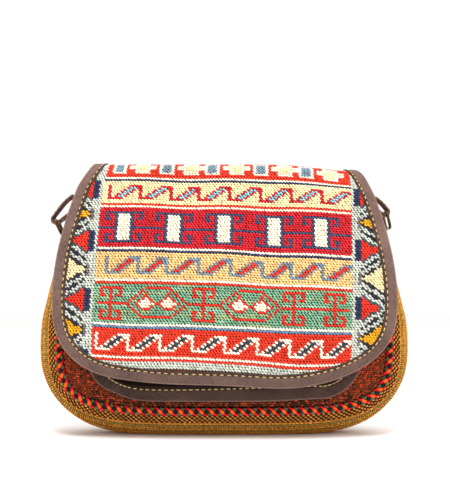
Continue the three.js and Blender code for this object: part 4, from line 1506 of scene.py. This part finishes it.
def gusset_ground():
    share, along = gusset_lines(np.linspace(0, SEAM.length, GUSSET_STEPS), GUSSET_COLUMNS)
    face = on_gusset(share, along, -GUSSET_SINK)
    face[..., 2] = np.maximum(face[..., 2], GUSSET_FLOOR)
    width = np.linalg.norm(np.diff(face, axis=1), axis=-1).sum(1)
    run = lengths_along(face[:, GUSSET_COLUMNS // 2])[-1]
    cloth(
        "gusset_ground", "gusset", AMBER_GROUND, "ribbed_wool",
        face,
        on_gusset(share, along, -WALL),
        flip=True,
        flat=metres(width.max(), run),
        held="stretched",
        rests_on=["front_wool", "back_wool"],
        area=float(np.mean(width) * run) * MM * MM,
    )


def gusset_yarn(rib, row):
    """Checks beside the piping, then gold ribs with olive stripes."""
    broken = (row == OLIVE_ROW + 1) & (rib % OLIVE_RIBS == 0)
    olive = (row == OLIVE_ROW) | broken | (row == OLIVE_EDGE_ROW)
    checked = (row < CHECK_ROWS) & ((rib + row) % 2 == 0)
    mixed = (rib * HONEY_RIB + row * HONEY_ROW) % HONEY_PERIOD < HONEY_SHARE
    return choose("gold_rib", (olive, "olive_rib"), (checked, "black_rib"), (mixed, "honey_rib"))


def gusset_rows(half):
    """Places of the stitches from the piping to the middle, where the rows of both halves meet."""
    fixed = CHECK_ROWS * CHECK_ROW
    row = np.arange(CHECK_ROWS + math.ceil((half - fixed) / PLAIN_ROW))
    plain = fixed + (row - CHECK_ROWS + 0.5) * PLAIN_ROW
    return np.where(row < CHECK_ROWS, (row + 0.5) * CHECK_ROW, plain)


def gusset_stitches(pitch, first, last):
    """Rib, row, side, place along the seam and share of the depth of each stitch in some rows."""
    along = spaced(SEAM.length, pitch)
    share, places = gusset_lines(along, GUSSET_SAMPLES)
    lines = on_gusset(share, places, np.zeros_like(share))
    found = []
    for rib in range(len(along)):
        reach = lengths_along(lines[rib])
        for row, place in enumerate(gusset_rows(reach[-1] / 2)):
            if first <= row < last:
                for rear in (0, 1):
                    at = reach[-1] - place if rear else place
                    found.append((rib, row, rear, along[rib], np.interp(at, reach, share[rib])))
    return found


def gusset_ribs():
    checks = gusset_stitches(CHECK_PITCH, 0, CHECK_ROWS)
    plain = gusset_stitches(RIB_PITCH, CHECK_ROWS, MOST_ROWS)
    rib, row, rear, place, depth = np.array(checks + plain).T
    rib, row, rear = rib.astype(int), row.astype(int), rear.astype(int)
    place = np.clip(place + strays(RIB_STRAY, rib), SEAM_END, SEAM.length - SEAM_END)
    height = np.full_like(depth, GUSSET_STITCH_HEIGHT)
    centres, across, forward, normal = surface_frame(on_gusset, depth, place, height, GUSSET_PROBE)
    centres[:, 2] = np.maximum(centres[:, 2], GUSSET_LOWEST)
    lean = np.where(row < CHECK_ROWS, CHECK_LEAN, PLAIN_LEAN) + strays(LEAN_STRAY, rib)
    direction = slanted(across, forward, np.where(rear, np.pi - lean, lean))
    direction = unit(direction - normal * (direction * normal).sum(1, keepdims=True))
    stitch = np.where((row < CHECK_ROWS)[:, None], CHECK_STITCH, PLAIN_STITCH)
    sizes = varied(stitch, GUSSET_SPREAD, len(rib))
    yarns = gusset_yarn(rib, row)
    sizes = sizes * np.where(yarns == YARN_NUMBER["black_rib"], DARK_CHECK, 1)[:, None]
    groups = (("gusset_ribs_front", rear == 0), ("gusset_ribs_rear", rear == 1))
    bead_pieces(groups, (centres, direction, normal, sizes), yarns, "ribbed_wool")


# Braided piping

BRAID_PITCH = 3.35
BRAID_STRANDS = 6
BRAID_SHIFT = 2.0
BRAID_FACE = 3
BRAID_SIZE = (1.62, 1.34, 0.95)
BRAID_RADIUS = 1.72
BRAID_END = 1.0
CORE_RADIUS = 1.95
CORE_STEPS = 240
CORE_SIDES = 10
ROUTE_SAMPLES = 1400
ROUTE_PROBE = 0.5
REARWARD = np.array([0.0, 1.0, 0.0])


def seam_route(depth_share):
    x, z = SEAM.point(np.linspace(0, SEAM.length, ROUTE_SAMPLES))
    y = np.full_like(x, BACK_REACH) if depth_share else front_depth(x, z)
    route = point_array(x, y, mouth_drop(z, depth_share))
    return route, lengths_along(route)


def route_frames(route, reach, along):
    """Points along a route, with its direction and two directions across it."""
    places = (along, np.minimum(along + ROUTE_PROBE, reach[-1]), np.maximum(along - ROUTE_PROBE, 0))
    centre, ahead, behind = (np.stack(follow(route, reach, place), axis=1) for place in places)
    tangent = unit(ahead - behind)
    outward = unit(np.cross(REARWARD, tangent))
    return centre, tangent, outward, np.cross(outward, tangent)


def cord_core(route, reach):
    centre, _, outward, side = route_frames(route, reach, np.linspace(0, reach[-1], CORE_STEPS))
    turn = turns(CORE_SIDES)
    spokes = np.cos(turn)[None, :, None] * outward[:, None] + np.sin(turn)[None, :, None] * side[:, None]
    faces = grid_faces(CORE_STEPS, CORE_SIDES, loop_columns=True).tolist()
    start = list(range(CORE_SIDES))
    last = CORE_SIDES * (CORE_STEPS - 1)
    return centre[:, None] + CORE_RADIUS * spokes, [*faces, start[::-1], [last + k for k in start]]


def piping(name, node, depth_share):
    route, reach = seam_route(depth_share)
    points, faces = cord_core(route, reach)
    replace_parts(make_piece(name + "_core", points, faces, [GROUND], "braid"), node)
    bar, strand = counted(int(reach[-1] / BRAID_PITCH), BRAID_STRANDS)
    along = bar * BRAID_PITCH + (strand - BRAID_FACE) * BRAID_SHIFT
    keep = (along > BRAID_END) & (along < reach[-1] - BRAID_END)
    bar, strand, along = bar[keep], strand[keep], along[keep]
    centre, tangent, outward, side = route_frames(route, reach, along)
    facing = -1 if depth_share else 1
    turn = facing * (np.pi / 2 - (strand - BRAID_FACE) * 2 * np.pi / BRAID_STRANDS)
    normal = slanted(outward, side, turn)
    around = np.cos(turn)[:, None] * side - np.sin(turn)[:, None] * outward
    step = -facing * 2 * np.pi * BRAID_RADIUS / BRAID_STRANDS
    direction = unit(tangent * BRAID_SHIFT + around * step)
    warm = bar % 2 == 0
    odd = strand % 2 == 1
    yarns = choose("braid_olive", (warm & odd, "braid_orange"), (warm, "braid_red"), (odd, "braid_black"))
    beads = (centre + BRAID_RADIUS * normal, direction, normal, np.broadcast_to(BRAID_SIZE, normal.shape))
    bead_pieces([(name, slice(None))], beads, yarns, "braid", shape=BAR_POINTS, dip=0)


# Strap tabs and rings

FACE_SAMPLES = 3000
FACE_START = 0.62
ARC_STEPS = 40
RUN_STEPS = 30
TAB_ROWS = 90
TAB_COLUMNS = 17
TAB_EDGE = (0.82, 1.0)
TAB_EDGE_DROP = 0.5
TAB_RIPPLE = 0.07
TAB_DASH = (1.25, 0.4, 0.3)
TAB_DASH_PITCH = 3.6
TAB_DASH_RISE = 0.05
TAB_DASH_INSET = 1.6
RING_CORNERS = ((1, 0), (1, 1), (-1, 1), (-1, 0))
RING_CORNER_STEPS = 9
RING_STEPS = 160
RING_SIDES = 14


def gusset_face(height):
    """The gusset's outer face at a height, half way through its depth on the right."""
    along = np.linspace(SEAM.length / 2, SEAM.length, FACE_SAMPLES)
    line = on_gusset(np.full_like(along, 0.5), along, np.full_like(along, GUSSET_RIB))
    line = line[along > SEAM.length * FACE_START]
    return np.array(follow(line, line[:, 2], height))


def fold_centre(tab):
    height = FRONT_MOUTH - tab["fold_drop"]
    face = gusset_face(height)
    return np.array([face[0] + tab["reach"], face[1], height])


def touch_angle(point, centre, radius, turn):
    reach = point - centre
    return math.atan2(reach[1], reach[0]) + turn * math.acos(radius / np.linalg.norm(reach))


def tab_route(tab):
    """Line of a tab from the gusset's top, round the ring's wire and back to the gusset, and its depth."""
    fold = fold_centre(tab)
    centre = fold[[0, 2]]
    radius = RING_WIRE_RADIUS + RING_CLEARANCE + TAB_CLOTH / 2
    top = FRONT_MOUTH - tab["top_drop"]
    lower_height = FRONT_MOUTH - tab["lower_drop"]
    upper = np.array([gusset_face(top)[0] + SEWN_GAP + TAB_CLOTH / 2, top])
    lower = np.array([gusset_face(lower_height)[0] + TAB_LOWER_SEAT, lower_height])
    start = touch_angle(upper, centre, radius, -1)
    end = touch_angle(lower, centre, radius, 1)
    if end > start:
        end -= 2 * math.pi
    arc = centre + radius * circle(np.linspace(start, end, ARC_STEPS))
    share = np.linspace(0, 1, RUN_STEPS)[:-1, None]
    run = arc[0] - upper
    outward = np.array([-run[1], run[0]]) / np.linalg.norm(run)
    bowed = upper + run * share + tab["bow"] * outward * np.sin(np.pi * share**TAB_BOW_POWER)
    return even_path(np.concatenate([bowed, arc, [lower]]), FINE_STEP), fold[1]


def strap_tab(name, tab):
    path, middle = tab_route(tab)
    along = np.linspace(0, path.length, TAB_ROWS)[:, None]
    across = np.linspace(-1, 1, TAB_COLUMNS)[None, :]
    half = TAB_WIDTH / 2
    thick = TAB_CLOTH / 2 * (1 - TAB_EDGE_DROP * smooth(np.abs(across), *TAB_EDGE))
    relief = TAB_RIPPLE * ripples(along, across * half, wavelength=7, seed=41)
    sheets = []
    for face in (1, -1):
        x, z = path.inward(along, face * (thick + relief))
        sheets.append(point_array(tab["side"] * x, middle + across * half, z))
    cloth(
        name + "_strap_tab", name + "_tab", CANVAS, "canvas",
        *sheets,
        flip=tab["side"] > 0,
        flat=metres(TAB_WIDTH, path.length),
        held="folded",
        rests_on=[name + "_ring"],
    )
    for edge, side in (("front", -1), ("rear", 1)):
        tab_stitches(f"{name}_tab_stitch_{edge}", tab, path, middle + side * (half - TAB_DASH_INSET))


def tab_stitches(name, tab, path, y):
    along = spaced(path.length, TAB_DASH_PITCH)
    run, climb = path.tangent(along)
    x, z = path.inward(along, TAB_CLOTH / 2 + TAB_DASH_RISE)
    direction = point_array(tab["side"] * run, 0, climb)
    normal = point_array(tab["side"] * -climb, 0, run)
    dashes(name, point_array(tab["side"] * x, y, z), direction, normal, TAB_DASH)


def ring(name, tab):
    """A four-sided wire ring that leans in its tab's fold."""
    half = TAB_WIDTH / 2 + RING_CLEARANCE + RING_WIRE_RADIUS + RING_SIDE_PLAY
    line = []
    for index, (side, far) in enumerate(RING_CORNERS):
        drop = RING_DROP - RING_CORNER if far else RING_CORNER
        angle = (index - 1 + np.linspace(0, 1, RING_CORNER_STEPS)) * np.pi / 2
        line.append(np.array([side * (half - RING_CORNER), -drop]) + RING_CORNER * circle(-angle))
    path = even_path(np.concatenate([*line, line[0][:1]]), FINE_STEP)
    along = np.linspace(0, path.length, RING_STEPS + 1)[:-1]
    fold = fold_centre(tab)
    swell = gusset_face(fold[2] - RING_DROP)[0] - gusset_face(fold[2])[0]
    lean = math.atan2(swell, RING_DROP) + math.radians(tab["lean"])
    turn = turns(RING_SIDES)
    y, z = path.inward(along[:, None], WIRE_FACE * np.cos(turn)[None, :])
    x = WIRE_FACE * np.sin(turn)[None, :]
    turned_x = x * math.cos(lean) - z * math.sin(lean)
    turned_z = x * math.sin(lean) + z * math.cos(lean)
    points = point_array(tab["side"] * (fold[0] + turned_x), fold[1] + y, fold[2] + turned_z)
    faces = grid_faces(RING_STEPS, RING_SIDES, True, True)
    if tab["side"] < 0:
        faces = faces[:, ::-1]
    piece = make_piece(name + "_wire_ring", points, faces, [BRASS], "brass", body=name + "_ring")
    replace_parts(piece, name + "_ring")


# Stage: places in metres, the sensor in millimetres and the photo's frame in pixels

AIM = Vector((0, 0, 0.092))
CAMERA_DISTANCE = 0.7
CAMERA_YAW = math.radians(0.66)
CAMERA_RISE = math.radians(-0.6)
PICTURE_WIDTH = 450
PICTURE_HEIGHT = 493
FOCAL_PIXELS = 1029.5
PRINCIPAL_X = 224.58
PRINCIPAL_Y = 297.63
SENSOR = 36
NEAREST = 0.01
FLOOR_HALF = 12.0
LIGHTS = {
    "key": dict(place=(-0.05, -0.8, 1.8), size=0.9, power=26),
    "fill": dict(place=(1.2, -1.1, 0.9), size=1.2, power=7),
    "rear": dict(place=(0.3, 1.5, 1.2), size=1.2, power=12),
}
SKY_BACKDROP = ((0.3, 0.5), (1.05, 0.15))
SKY_CEILING = ((0.3, 0.9), (0.0, 1.25))
WHITE = (1, 1, 1, 1)


def point_at_bag(made, place):
    made.location = place
    made.rotation_euler = (AIM - made.location).to_track_quat("-Z", "Y").to_euler()


def camera():
    data = bpy.data.cameras.new("camera")
    data.sensor_fit = "HORIZONTAL"
    data.sensor_width = SENSOR
    data.lens = FOCAL_PIXELS / PICTURE_WIDTH * SENSOR
    data.shift_x = (PICTURE_WIDTH / 2 - PRINCIPAL_X) / PICTURE_WIDTH
    data.shift_y = (PRINCIPAL_Y - PICTURE_HEIGHT / 2) / PICTURE_WIDTH
    data.clip_start = NEAREST
    back = Vector((
        -math.sin(CAMERA_YAW) * math.cos(CAMERA_RISE),
        -math.cos(CAMERA_YAW) * math.cos(CAMERA_RISE),
        math.sin(CAMERA_RISE),
    ))
    eye = add_object("camera", data)
    point_at_bag(eye, AIM + CAMERA_DISTANCE * back)
    bpy.context.scene.camera = eye


def area_light(name, place, size, power):
    data = bpy.data.lights.new(name, "AREA")
    data.shape = "DISK"
    data.size = size
    data.energy = power
    point_at_bag(add_object(name, data), place)


def studio():
    """A white studio: a bright backdrop all round and a bright ceiling, with a softer wall between."""
    graph = Graph(bpy.data.worlds.new("studio"))
    height = graph.height(graph.node("TexCoord").outputs["Generated"])
    parts = [graph.ranged(height, *ramp) for ramp in (SKY_BACKDROP, SKY_CEILING)]
    return graph.finish("Background", Color=WHITE, Strength=graph.math("ADD", *parts))


def stage():
    mesh = bpy.data.meshes.new("floor")
    corners = [(x * FLOOR_HALF, y * FLOOR_HALF, 0) for x, y in ((-1, -1), (1, -1), (1, 1), (-1, 1))]
    mesh.from_pydata(corners, [], [(0, 1, 2, 3)])
    mesh.materials.append(floor_material())
    add_object("floor", mesh)
    scene = bpy.context.scene
    scene.world = studio()
    scene.view_settings.view_transform = "Standard"
    for name, light in LIGHTS.items():
        area_light(name, **light)


camera()
flap_sheet(
    "flap_ground", "flap_cloth", GROUND_ROWS, GROUND, "soumak",
    face=-GROUND_SINK, back=-FLAP_CLOTH, sag=0, rests_on=["pocket_binding", "flap_lining"],
)
flap_weave()
flap_sheet(
    "flap_underside", "flap_lining", LINING_ROWS, LINING, "lining",
    face=LINING_FACE, back=LINING_FACE - FLAP_LINING, sag=LINING_SAG, rests_on=["flap_ground"],
)
flap_tape()
pocket()
panels()
mouth_tape()
gusset_ground()
gusset_ribs()
piping("front_braid", "front_piping", 0)
piping("rear_braid", "rear_piping", 1)
for side_name, side_tab in TABS.items():
    strap_tab(side_name, side_tab)
    ring(side_name, side_tab)
for snap in ("snap_socket", "snap_stud"):
    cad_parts[snap].data.materials.clear()
    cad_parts[snap].data.materials.append(BRASS)
stage()
